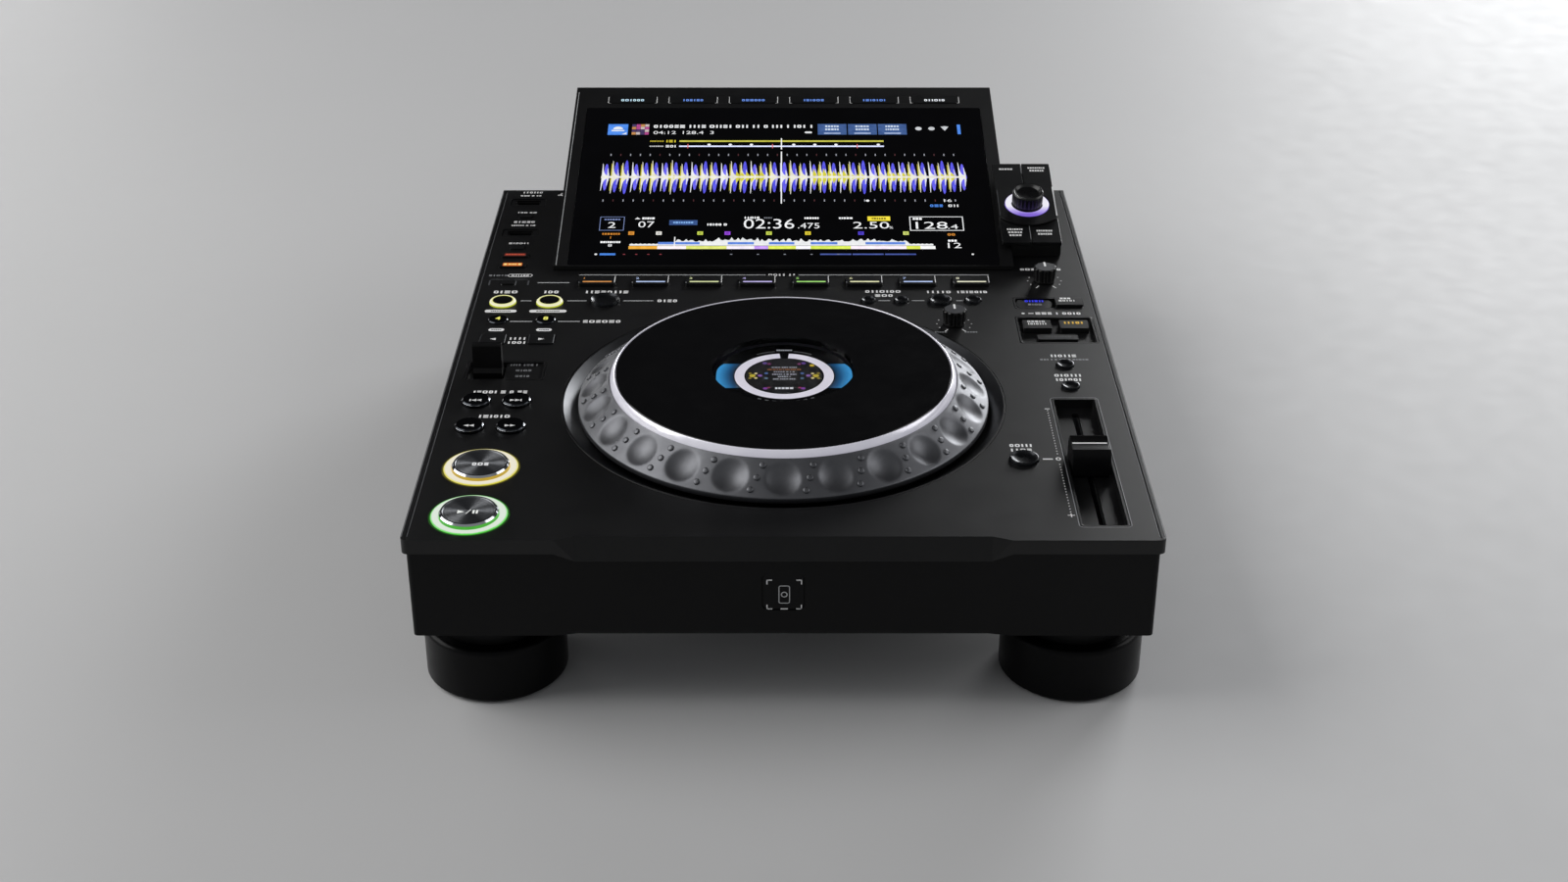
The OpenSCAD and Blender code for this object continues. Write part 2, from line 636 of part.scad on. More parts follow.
lever_w = 14.2;
lever_slot = [lever_w, 15];
lever_tray_depth = 3;
lever_pivot = -10;
lever_pin_r = 3;
ear_t = 2.4;
lever_x = left_x + 19.2;
module control_trays() color("#101113") {
    on_deck(mode_at) tray(mode_tray, tray_depth, [[mode_key_at - mode_at, mode_key_size],
        [mode_lamp_at - mode_at, mode_lamp_size]]);
    on_deck(sync_at) tray(sync_tray, tray_depth, [[sync_left_at - sync_at, sync_key_size],
        [sync_right_at - sync_at, sync_key_size], [sync_bar_at - sync_at, sync_bar_size]]);
    on_deck(lever_at) tray(lever_tray, lever_tray_depth, [[[lever_x - lever_at[0], 0], lever_slot]]);
    for (side = [-1, 1]) on_deck([lever_x + side * ((lever_w + ear_t) / 2 + gap), lever_at[1]]) difference() {
        along_x(ear_t) polygon([[-5, lever_pivot - 4.5], [5, lever_pivot - 4.5],
            [8, -lever_tray_depth - tray_t], [-8, -lever_tray_depth - tray_t]]);
        translate([0, 0, lever_pivot]) rotate([0, 90, 0])
            cylinder(r = lever_pin_r + play, h = 10, center = true);
    }
    on_deck(fader_at) tray([fader_w, fader_len], fader_depth, [[[0, 0], [stem_w + 1.2, fader_slot]]]);
    on_deck(mode_lamp_at) slab(mode_lamp_size - [0.2, 0.2], -tray_depth - tray_t, -0.6, 0.6);
}

fader_top = -fader_depth - tray_t - 0.4 - gap;
module fader_unit() color(SILVER) on_deck(fader_at) difference() {
    slab([15, fader_len - 4], fader_top - 10, fader_top, 1);
    slab([stem_w + 1.2, fader_slot], fader_top - 8, fader_top + 2, 0.4);
}

module tempo_slider() color("#141416") on_deck(fader_at) {
    foot = -fader_depth + 0.5;
    difference() {
        along_x(cap_w) polygon([[-cap_d / 2, foot], [cap_d / 2, foot], [cap_d / 2, cap_rise - 4.2],
            [cap_d / 2 - 2.4, cap_rise], [-cap_d / 2 + 2.4, cap_rise], [-cap_d / 2, cap_rise - 4.2]]);
        translate([0, 0, cap_rise + 13.4]) rotate([0, 90, 0])
            cylinder(r = 15.2, h = cap_w + 2, center = true);
    }
    translate([-stem_w / 2, -4, fader_top - 6]) cube([stem_w, 8, foot - fader_top + 6 + tiny]);
}

// Lit rings: around the two large keys and under the browse knob
module light_rings() color("#e8e6d8") {
    inner = big_key_d / 2 + gap;
    outer = big_ring_r;
    for (at = BIG_KEYS) on_deck(at) turned([[inner, key_bottom + 0.2], [outer + 1.4, key_bottom + 0.2],
        [outer + 1.4, flange_top], [outer, flange_top], [outer, 0.4], [outer - 0.8, 1.2], [inner, 1.2]]);
    on_screen(pod_x, browse_v) tube(browse_ring_r, browse_r + gap, pod_top - 0.9, pod_top + 0.3);
}

module big_key() {
    turned([[0, big_key_low - big_flange_t], [big_key_d / 2 + 2, big_key_low - big_flange_t],
        [big_key_d / 2 + 2, big_key_low], [big_key_d / 2, big_key_low],
        [big_key_d / 2, big_rise - 1.1], [big_key_d / 2 - 1.1, big_rise],
        [big_key_d / 2 - 1.5, big_rise], [big_key_d / 2 - 1.8, big_rise - 0.3], [0, big_rise - 0.3]]);
}
module cue_button() color("#55585c") on_deck(cue_at) big_key();
module play_button() color("#55585c") on_deck(play_at) big_key();

// Screen
cover_wall = 3;
key_v = screen_len - 13.5;
glass_v = [1.2, screen_len - 23.5];
view_v = [11.4, screen_len - 38];
view_half = screen_w / 2 - bezel_w - 13;
MENU = [-2.5, -1.5, -0.5, 0.5, 1.5, 2.5];

function plane_z(y) = screen_z + (y - screen_y) * slope_rise;

module screen_housing() color(CHARCOAL) difference() {
    union() {
        along_x(screen_w) translate([-mid_y, 0]) polygon([[screen_y, deck_h + gap], [screen_y, screen_z],
            [overall_d, plane_z(overall_d)], [overall_d, plane_z(overall_d) - 13],
            [case_d, deck_h - shoulder_drop + gap + 0.4], [deck_d, deck_h + gap + 0.1]]);
        translate([-tub_half, screen_y + tub_front - mid_y, deck_h - tub_depth])
            cube([2 * tub_half, screen_reach - tub_front - tub_rear, tub_depth + 1]);
    }
    along_x(2 * tub_half - 5) translate([-mid_y, 0]) polygon([
        [screen_y + tub_front + 2.5, deck_h - tub_depth + 2.5],
        [deck_d - tub_rear - 2.5, deck_h - tub_depth + 2.5],
        [deck_d - tub_rear - 2.5, deck_h + 3.5], [case_d - 4, deck_h + 3.5],
        [overall_d - 11, plane_z(overall_d) - 17], [overall_d - 4, plane_z(overall_d - 4) - 12],
        [overall_d - 4, plane_z(overall_d - 4) - cover_wall],
        [screen_y + tub_front + 2.5, plane_z(screen_y + tub_front + 2.5) - cover_wall]]);
    on_screen(0, (glass_v[0] + glass_v[1]) / 2)
        slab([screen_w - 2 * bezel_w + 2 * gap, glass_v[1] - glass_v[0] + 2 * gap], -glass_t - 0.1, 5, 1.2);
    on_screen(0, (view_v[0] + view_v[1]) / 2)
        slab([2 * view_half, view_v[1] - view_v[0]], -cover_wall - 2, 5, 1);
    for (i = MENU) on_screen(i * menu_pitch, key_v)
        slab([menu_key_w + 2 * gap, menu_key_d + 2 * gap], -cover_wall - 2, 5, 0.8);
}

module screen_glass() color("#050506") on_screen(0, (glass_v[0] + glass_v[1]) / 2)
    slab([screen_w - 2 * bezel_w, glass_v[1] - glass_v[0]], -glass_t, 0, 1);

module lcd_panel() color("#1a2038") on_screen(0, (view_v[0] + view_v[1]) / 2)
    slab([2 * view_half + 6, view_v[1] - view_v[0] + 2], -cover_wall - 5, -cover_wall - gap, 1);

module menu_keys() color(BLACK) for (i = MENU) on_screen(i * menu_pitch, key_v) {
    slab([menu_key_w, menu_key_d], -cover_wall - gap - tiny, 0.2, 0.6);
    slab([menu_key_w + 2, menu_key_d + 1.6], -cover_wall - gap - 1.2, -cover_wall - gap, 0.6);
}

// Browse pod, beside the screen and a little over its edge
pod_left = screen_w / 2 - pod_cover;
pod_x = pod_left + pod_w / 2;
pod_mid = pod_front + pod_len / 2;
pod_top = pod_rise + 1.2;
pod_key_low = pod_rise - 2.2;
browse_ring_r = browse_r + 3.8;
browse_flutes = 24;
pod_sag = pod_bow - sqrt(pod_bow * pod_bow - pod_w * pod_w / 4);

// The pod's outline seen from above the screen: straight sides and bowed ends
module pod_outline() intersection() {
    square([pod_w, pod_len], center = true);
    for (side = [-1, 1]) translate([0, side * (pod_len / 2 - pod_bow)]) circle(pod_bow);
}

module pod_housing() color(BLACK) {
    difference() {
        union() {
            translate([screen_w / 2 + gap, 0, 0]) rotate([90, 0, 90]) linear_extrude(pod_w - pod_cover - gap)
                translate([-mid_y, 0]) polygon([[pod_y0, deck_h + gap], [pod_y0, plane_z(pod_y0) + 1.2],
                    [pod_y1, plane_z(pod_y1) + 1.2], [pod_y1, deck_h + gap]]);
            on_screen(pod_x, browse_v) translate([0, 0, gap]) linear_extrude(pod_top - gap)
                intersection() {
                    translate([-0.2, 0]) square([pod_w - 0.4, pod_len], center = true);
                    circle(platform_r);
                }
        }
        on_screen(pod_x, browse_v) translate([0, 0, -6]) cylinder(r = shaft_r + gap, h = 20);
        on_screen(pod_x, browse_v) translate([0, 0, pod_top - 1.2]) cylinder(r = browse_ring_r + gap, h = 5);
    }
}
pod_y0 = screen_y + (pod_front + pod_sag) * cos(screen_tilt);
pod_y1 = screen_y + (pod_front + pod_len - pod_sag) * cos(screen_tilt);

module browse_keys() color("#1b1c1e") for (side = [-1, 1], end = [-1, 1])
    on_screen(pod_x, pod_mid) translate([0, 0, pod_key_low]) linear_extrude(pod_rise - pod_key_low)
        difference() {
            intersection() {
                pod_outline();
                translate([side > 0 ? 0.25 : -pod_w / 2, end > 0 ? 0 : -pod_len / 2])
                    square([pod_w / 2 - 0.25, pod_len / 2]);
            }
            translate([0, browse_v - pod_mid]) circle(platform_r + 0.4);
        }

module browse_shaft() color(SILVER) on_screen(pod_x, browse_v) {
    translate([0, 0, -4]) cylinder(r = shaft_r, h = pod_top + 4 + 0.9 + browse_bore - gap);
}

browse_bore = browse_h - 3.4;
module browse_knob() color("#0e0e10") on_screen(pod_x, browse_v)
translate([0, 0, pod_top + 0.9]) difference() {
    turned([[shaft_r + play, 0], [browse_r - 1, 0], [browse_r, 0.6], [browse_r, browse_h - 0.7],
        [browse_r - 0.6, browse_h], [browse_r - 1.1, browse_h - 0.3], [browse_r - 2.4, browse_h - 1.5],
        [0, browse_h - 2.2], [0, browse_bore], [shaft_r + play, browse_bore]]);
    for (i = [0:browse_flutes - 1]) rotate(i * 360 / browse_flutes) translate([browse_r + 0.3, 0, -1])
        cylinder(r = 0.7, h = browse_h - 0.2);
}

// Jog wheel
well_r = jog_r + well_gap;
ring_in = jog_r - ring_w;
plate_r = ring_in - band_w - 2 * gap;
shelf_z = ring_high - 3.3;
hub_z = -2;
web_z = 1;
hub_top = 6;
collar_w = 3;
display_z = 8;
plate_low = jog_rise - 3.1;

module jog_well() color("#3a3b3d") on_deck([0, jog_y]) turned([[well_r - 0.9, 0], [well_r, 0],
    [well_r, flange_top], [well_r + 2, flange_top], [well_r + 2, flange_top - 2],
    [well_r - 0.5, flange_top - 2],
    [well_r - 2.5, -well_depth - 2], [post_r + collar_w + gap, -well_depth - 2],
    [post_r + collar_w + gap, -well_depth],
    [well_r - 4.5, -well_depth]]);

module jog_post() color(SILVER) on_deck([0, jog_y]) difference() {
    turned([[post_r - 4, -well_depth - 5], [post_r + 12, -well_depth - 5],
            [post_r + 12, -well_depth - 2 - gap], [post_r + collar_w, -well_depth - 2 - gap],
            [post_r + collar_w, hub_z - gap], [post_r, hub_z - gap],
            [post_r, hub_top + gap], [post_r - 0.6, display_z], [post_r - 4, display_z]]);
    for (i = [0:5]) rotate(i * 60) translate([post_r + 7, 0, -well_depth - 8]) cylinder(r = 1.6, h = 10);
}

module jog_display() color("#20242c") on_deck([0, jog_y]) translate([0, 0, display_z])
    cylinder(r = lens_r - 1, h = plate_low - plate_travel - 0.4 - display_z);

dimple_at = jog_r - ring_w / 2;
ring_lean = atan2(ring_high - ring_low, ring_w);
dimple_ball = (dimple_r * dimple_r + dimple_depth * dimple_depth) / (2 * dimple_depth);
slope_z = (ring_low + ring_high) / 2;

module jog_ring() color(SILVER) on_deck([0, jog_y]) {
    difference() {
        turned([[jog_r, hub_z], [jog_r, ring_low], [ring_in, ring_high], [ring_in, shelf_z],
            [ring_in - band_w - 3, shelf_z], [ring_in - band_w - 3, web_z], [post_r + 4.5, web_z],
            [post_r + 4.5, hub_top],
            [post_r + play, hub_top], [post_r + play, hub_z]]);
        for (i = [0:dimple_count - 1]) rotate(i * 360 / dimple_count - 90) translate([dimple_at, 0, slope_z])
            rotate([0, ring_lean, 0]) translate([0, 0, dimple_ball - dimple_depth]) sphere(dimple_ball);
    }
}

module jog_band() color("#d9dade") on_deck([0, jog_y]) turned([[ring_in - band_w, shelf_z],
    [ring_in - gap, shelf_z], [ring_in - gap, jog_rise - 2.8], [ring_in - band_w + 0.5, jog_rise],
    [ring_in - band_w, jog_rise]]);

module jog_plate() color("#08080a") on_deck([0, jog_y]) difference() {
    turned([[lens_r + play, plate_low], [plate_r + gap, plate_low], [plate_r + gap, jog_rise - 0.5],
        [plate_r - 0.1, jog_rise - 0.1], [lens_r + play, jog_rise - 0.1]]);
}

module jog_lens() color("#101216", 0.6) on_deck([0, jog_y]) translate([0, 0, plate_low])
    cylinder(r = lens_r, h = jog_rise - 0.1 - plate_low);

// Small knobs, fluted and a little slimmer at the foot
knob_flutes = 12;
flute_r = 1.2;
flute_depth = 0.5;
module small_knob() {
    difference() {
        turned([[0, gap], [knob_r - knob_taper, gap], [knob_r, knob_h - 0.5], [knob_r - 0.5, knob_h],
            [0, knob_h]]);
        for (i = [0:knob_flutes - 1]) rotate(90 + (i + 0.5) * 360 / knob_flutes)
            translate([knob_r - knob_taper + flute_r - flute_depth, 0, 1.2])
            rotate([0, atan2(knob_taper, knob_h), 0]) cylinder(r = flute_r, h = knob_h);
    }
    translate([0, 0, board_top - 2]) cylinder(r = shaft_r, h = -board_top + 2 + 1);
}
module jog_adjust_knob() color("#0e0e10") on_deck(jog_adjust_at) small_knob();
module vinyl_speed_knob() color("#0e0e10") on_deck(vinyl_speed_at) small_knob();

// Direction lever, hinged below the tray
module direction_lever() color("#0f0f11") on_deck([lever_x, lever_at[1]]) {
    along_x(lever_w) polygon([[-4, lever_pivot], [4, lever_pivot], [4, 1], [2.2, 3], [1.6, 14.5], [0.8, 15.3],
        [-1.8, 15.3], [-2.6, 14.5], [-3.4, 3], [-5, 1]]);
    translate([0, 0, lever_pivot]) rotate([0, 90, 0])
        cylinder(r = lever_pin_r, h = lever_w + 2 * (gap + ear_t), center = true);
}

// Keys of the deck
module loop_in_button() color("#1a1a1a") on_deck(loop_in_at) round_key(loop_key_d, 1.5);
module loop_out_button() color("#1a1a1a") on_deck(loop_out_at) round_key(loop_key_d, 1.5);
module reloop_button() color("#1a1a1a") on_deck(reloop_at) round_key(reloop_d, 1.5, 0.9);
module beat_loop_keys() color("#1a1a1a") for (at = beat_loop_at) on_deck(at) round_key(beat_loop_d, 0.8);
module beat_jump_back_key() color("#1a1a1a") on_deck(beat_jump_back_at) flat_key(jump_size, 0.5);
module beat_jump_forward_key() color("#1a1a1a") on_deck(beat_jump_forward_at) flat_key(jump_size, 0.5);
module track_back_button() color("#2a2c2e") on_deck(track_back_at) round_key(search_key_d, 2);
module track_forward_button() color("#2a2c2e") on_deck(track_forward_at) round_key(search_key_d, 2);
module search_back_button() color("#2a2c2e") on_deck(search_back_at) round_key(search_key_d, 2);
module search_forward_button() color("#2a2c2e") on_deck(search_forward_at) round_key(search_key_d, 2);

module left_mode_keys() color("#1a1a1a") {
    for (at = stop_at) on_deck(at) flat_key(stop_size, 0.5);
    on_deck(quantize_at) flat_key(quantize_size, 0.9);
    on_deck(slip_at) flat_key(slip_size, 0.9);
    on_deck(time_at) flat_key(time_size, 0.7);
}

module memory_keys() color("#1a1a1a") {
    for (at = call_at) on_deck(at) round_key(call_d, 1.1, 0.4);
    on_deck(delete_at) round_key(delete_d, 1.4, 0.7);
    on_deck(memory_at) round_key(memory_d, 1.1, 0.4);
}

module tempo_keys() color("#1a1a1a") {
    on_deck(tempo_range_at) round_key(range_d, 1.1, 0.4);
    on_deck(master_tempo_at) round_key(range_d, 1.1, 0.4);
    on_deck(reset_at) round_key(reset_d, 1.4, 0.8);
}

// Keys that stand in the trays
module tray_key(size, rise) {
    low = -tray_depth - tray_t - 0.4 - gap;
    slab(size, low - tiny, rise, 0.7);
    slab(size + [1.6, 1.2], low - 1, low, 0.7);
}
module sync_keys() color("#1a1a1a") {
    on_deck(sync_left_at) tray_key(sync_key_size, 0.6);
    on_deck(sync_right_at) tray_key(sync_key_size, 0.6);
    on_deck(sync_bar_at) tray_key(sync_bar_size, 0.2);
    on_deck(mode_key_at) tray_key(mode_key_size, 1.2);
}

module hot_cue(i) color("#1a1a1a") on_deck(pad_place(i - 1)) flat_key([pad_w, pad_d], pad_rise);

top_panel();
lower_case();
bottom_cover();
rear_panel();
front_badge();
feet();
foot_necks();
screws();
main_board();
power_supply();
rear_sockets();
ac_inlet();
power_switch();
usb_ports();
control_trays();
fader_unit();
light_rings();
screen_housing();
screen_glass();
lcd_panel();
menu_keys();
pod_housing();
browse_keys();
browse_shaft();
browse_knob();
jog_well();
jog_post();
jog_display();
jog_ring();
jog_band();
jog_plate();
jog_lens();
jog_adjust_knob();
vinyl_speed_knob();
tempo_slider();
direction_lever();
cue_button();
play_button();
loop_in_button();
loop_out_button();
reloop_button();
beat_loop_keys();
beat_jump_back_key();
beat_jump_forward_key();
track_back_button();
track_forward_button();
search_back_button();
search_forward_button();
left_mode_keys();
memory_keys();
sync_keys();
tempo_keys();
hot_cue(1);  // hot_cue_1
hot_cue(2);  // hot_cue_2
hot_cue(3);  // hot_cue_3
hot_cue(4);  // hot_cue_4
hot_cue(5);  // hot_cue_5
hot_cue(6);  // hot_cue_6
hot_cue(7);  // hot_cue_7
hot_cue(8);  // hot_cue_8
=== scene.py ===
"""Tabletop media player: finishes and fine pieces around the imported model."""
import json
import math
import random

import bpy
from mathutils import Matrix, Vector

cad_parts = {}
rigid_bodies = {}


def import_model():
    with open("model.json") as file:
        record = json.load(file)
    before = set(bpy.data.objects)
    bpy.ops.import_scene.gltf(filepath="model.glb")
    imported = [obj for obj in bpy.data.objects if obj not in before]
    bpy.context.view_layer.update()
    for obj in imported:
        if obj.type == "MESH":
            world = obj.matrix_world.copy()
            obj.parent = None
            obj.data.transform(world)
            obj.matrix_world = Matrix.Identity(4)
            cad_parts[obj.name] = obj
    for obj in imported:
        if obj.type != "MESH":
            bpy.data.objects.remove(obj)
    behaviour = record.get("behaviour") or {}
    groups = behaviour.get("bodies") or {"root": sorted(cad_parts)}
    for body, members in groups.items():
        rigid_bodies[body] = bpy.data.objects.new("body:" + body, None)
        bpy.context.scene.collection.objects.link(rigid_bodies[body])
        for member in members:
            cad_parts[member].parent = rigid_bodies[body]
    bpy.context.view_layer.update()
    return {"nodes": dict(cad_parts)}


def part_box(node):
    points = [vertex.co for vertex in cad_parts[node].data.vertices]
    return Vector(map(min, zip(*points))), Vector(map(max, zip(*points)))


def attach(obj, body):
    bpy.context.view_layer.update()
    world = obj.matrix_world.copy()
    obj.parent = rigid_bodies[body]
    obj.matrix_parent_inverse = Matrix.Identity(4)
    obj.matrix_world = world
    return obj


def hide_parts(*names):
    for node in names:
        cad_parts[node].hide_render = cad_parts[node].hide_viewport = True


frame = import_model()
nodes = frame["nodes"]

MM = 0.001
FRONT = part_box("top_panel")[0].y          # the deck's front edge
DECK = 0.090                              # the deck's top
TILT = math.radians(11.94)                # the screen's slope
SCREEN_Y, SCREEN_UP = 282.0, 2.6          # the screen's front edge: behind the deck's, and above the deck
JOG_Y = 133.0
KNOBS = {"jog_adjust_knob": (87.9, 215.0), "vinyl_speed_knob": (139.9, 268.3)}
KNOB_TOP = 8.4
LEFT, RIGHT = -164.5, 164.5               # the deck's edges
COLUMNS = (LEFT + 17.1, LEFT + 41.7)      # the middles of the two columns of small keys at the left
LOOP_Y = 241.2                            # the loop keys
FADER_X, FADER_Y = 139.7, 71.7            # the middle of the tempo fader
KEY_FOOT, COLLAR_TOP = -4.0, -2.8         # a key's lower end, and the top of its collar under the deck


# Places. Each gives the matrix of a small frame whose local z points out of the surface.
def deck(x=0.0, y=0.0, z=0.0, turn=0.0):
    return Matrix.Translation((x * MM, FRONT + y * MM, DECK + z * MM)) @ Matrix.Rotation(math.radians(turn), 4, "Z")


def screen(x=0.0, v=0.0):
    return deck(x, SCREEN_Y, SCREEN_UP) @ Matrix.Rotation(TILT, 4, "X") @ Matrix.Translation((0, v * MM, 0))


def facing(x, y, z, turn=0.0):
    """An upright surface: local x to its right, local y up. turn 0 faces the player, 180 faces back."""
    return (Matrix.Translation((x * MM, FRONT + y * MM, z * MM)) @ Matrix.Rotation(math.radians(turn), 4, "Z")
            @ Matrix.Rotation(math.radians(90), 4, "X"))


# Materials
GRAIN_DEPTH = 0.00004                     # how deep moulded grain is, in metres
GROOVE_PITCH = 0.00032                    # from groove to groove on a turned cap, in metres
MILKY = "1c1c1c"                          # an unlit light guide


def rgb(code):
    """A colour written as it looks on a screen, as the linear values that a shader takes."""
    parts = [int(code[i:i + 2], 16) / 255 for i in (0, 2, 4)]
    return tuple(p / 12.92 if p <= 0.04045 else ((p + 0.055) / 1.055) ** 2.4 for p in parts) + (1.0,)


def add_node(tree, kind, inputs=None, **settings):
    """A new shader node. An input takes either a value or another node's output."""
    node = tree.nodes.new(kind)
    for key, value in settings.items():
        setattr(node, key, value)
    for key, value in (inputs or {}).items():
        if isinstance(value, bpy.types.NodeSocket):
            tree.links.new(value, node.inputs[key])
        else:
            node.inputs[key].default_value = value
    return node


class Shade:
    """A material's nodes, with the principled shader ready."""

    def __init__(self, name):
        self.material = bpy.data.materials.new(name)
        self.material.use_nodes = True
        self.tree = self.material.node_tree
        self.main = self.tree.nodes["Principled BSDF"]
        self.where = self.add("ShaderNodeTexCoord").outputs["Object"]

    def add(self, kind, inputs=None, **settings):
        return add_node(self.tree, kind, inputs, **settings)

    def noise(self, scale, detail=2.0, rough=0.5):
        return self.add("ShaderNodeTexNoise", {"Vector": self.where, "Scale": scale, "Detail": detail,
                                               "Roughness": rough}).outputs["Fac"]

    def ramp(self, factor, *stops):
        node = self.add("ShaderNodeValToRGB", {"Fac": factor})
        band = node.color_ramp.elements
        while len(band) < len(stops):
            band.new(0.5)
        for element, (at, colour) in zip(band, stops):
            element.position, element.color = at, colour
        return node.outputs["Color"]

    def spread(self, factor, low, high, start=0.3, end=0.7):
        return self.add("ShaderNodeMapRange", {"Value": factor, "From Min": start, "From Max": end, "To Min": low,
                                               "To Max": high}).outputs["Result"]

    def maths(self, operation, a, b=0.0):
        return self.add("ShaderNodeMath", {0: a, 1: b}, operation=operation).outputs[0]

    def radius(self, centre):
        """The distance, in metres, from an upright axis."""
        flat = self.add("ShaderNodeVectorMath", {0: self.where, 1: centre}, operation="SUBTRACT").outputs[0]
        flat = self.add("ShaderNodeVectorMath", {0: flat, 1: (1, 1, 0)}, operation="MULTIPLY").outputs[0]
        return self.add("ShaderNodeVectorMath", {0: flat}, operation="LENGTH").outputs["Value"]

    def bump(self, height, strength, depth):
        return self.add("ShaderNodeBump", {"Height": height, "Strength": strength,
                                           "Distance": depth}).outputs["Normal"]

    def set(self, **sockets):
        for key, value in sockets.items():
            socket = self.main.inputs[key.replace("_", " ")]
            if isinstance(value, bpy.types.NodeSocket):
                self.tree.links.new(value, socket)
            else:
                socket.default_value = value


def moulded(name, dark, light, rough, spread, grain, relief, blotch, **sockets):
    """A moulded or painted surface: soft blotches in its colour, fine grain in its gloss and relief."""
    s = Shade(name)
    fine = s.noise(grain, 3.0)
    mixed = s.maths("ADD", s.maths("MULTIPLY", fine, 0.5), s.maths("MULTIPLY", s.noise(blotch * 3, 3.0), 0.5))
    s.set(Base_Color=s.ramp(s.noise(blotch, 4.0, 0.6), (0.35, rgb(dark)), (0.65, rgb(light))),
          Roughness=s.spread(mixed, rough - spread, rough + spread),
          Normal=s.bump(fine, relief, GRAIN_DEPTH), **sockets)
    return s.material


def glowing(s, glow, strength, low, high):
    """A milky lens over a light, with its roughness between two values."""
    s.set(Base_Color=rgb(MILKY), Emission_Color=glow, Emission_Strength=strength,
          Roughness=s.spread(s.noise(2500), low, high))
    return s.material


def lit(name, dark, light, strength):
    """A lit, milky surface whose glow is a little uneven."""
    s = Shade(name)
    glow = s.ramp(s.noise(300), (0.3, rgb(dark)), (0.7, rgb(light)))
    return glowing(s, glow, strength, 0.29, 0.41)


def graded(name, start, end, stops, strength, centre=None):
    """A lit surface whose colour changes with the distance from an upright axis, or else from front to back."""
    s = Shade(name)
    way = s.radius(centre) if centre else s.add("ShaderNodeSeparateXYZ", {0: s.where}).outputs["Y"]
    share = s.maths("ADD", s.spread(way, 0.0, 0.9, start, end), s.maths("MULTIPLY", s.noise(500), 0.1))
    return glowing(s, s.ramp(share, *((at, rgb(code)) for at, code in stops)), strength, 0.3, 0.42)


def spun(name, centre, dark, light, rough):
    """Metal turned on a lathe: fine rings about an upright axis through centre, and fans of light."""
    s = Shade(name)
    radius = s.radius(centre)
    rings = s.maths("SINE", s.maths("MULTIPLY", radius, math.tau / GROOVE_PITCH))
    uneven = s.add("ShaderNodeTexNoise", {"W": s.maths("MULTIPLY", radius, 2400), "Scale": 1.0, "Detail": 4.0},
                   noise_dimensions="1D").outputs["Fac"]
    s.set(Base_Color=s.ramp(uneven, (0.3, rgb(dark)), (0.7, rgb(light))), Metallic=1.0,
          Roughness=s.spread(uneven, rough - 0.06, rough + 0.08),
          Normal=s.bump(s.maths("ADD", rings, s.maths("MULTIPLY", uneven, 3.0)), 0.12, GRAIN_DEPTH / 2),
          Anisotropic=0.9, Anisotropic_Rotation=0.25,
          Tangent=s.add("ShaderNodeTangent", direction_type="RADIAL", axis="Z").outputs[0])
    return s.material


def glossy(name, dark, light, rough, **sockets):
    """Polished plastic, metal or glass with faint wipe marks in its gloss."""
    s = Shade(name)
    s.set(Base_Color=s.ramp(s.noise(60, 3.0), (0.3, rgb(dark)), (0.7, rgb(light))),
          Roughness=s.spread(s.noise(90, 5.0, 0.65), max(rough - 0.03, 0.01), rough + 0.04), **sockets)
    return s.material


def inked(name, dark, light, rough, **sockets):
    return moulded(name, dark, light, rough, 0.05, 2600, 0.08, 200, **sockets)


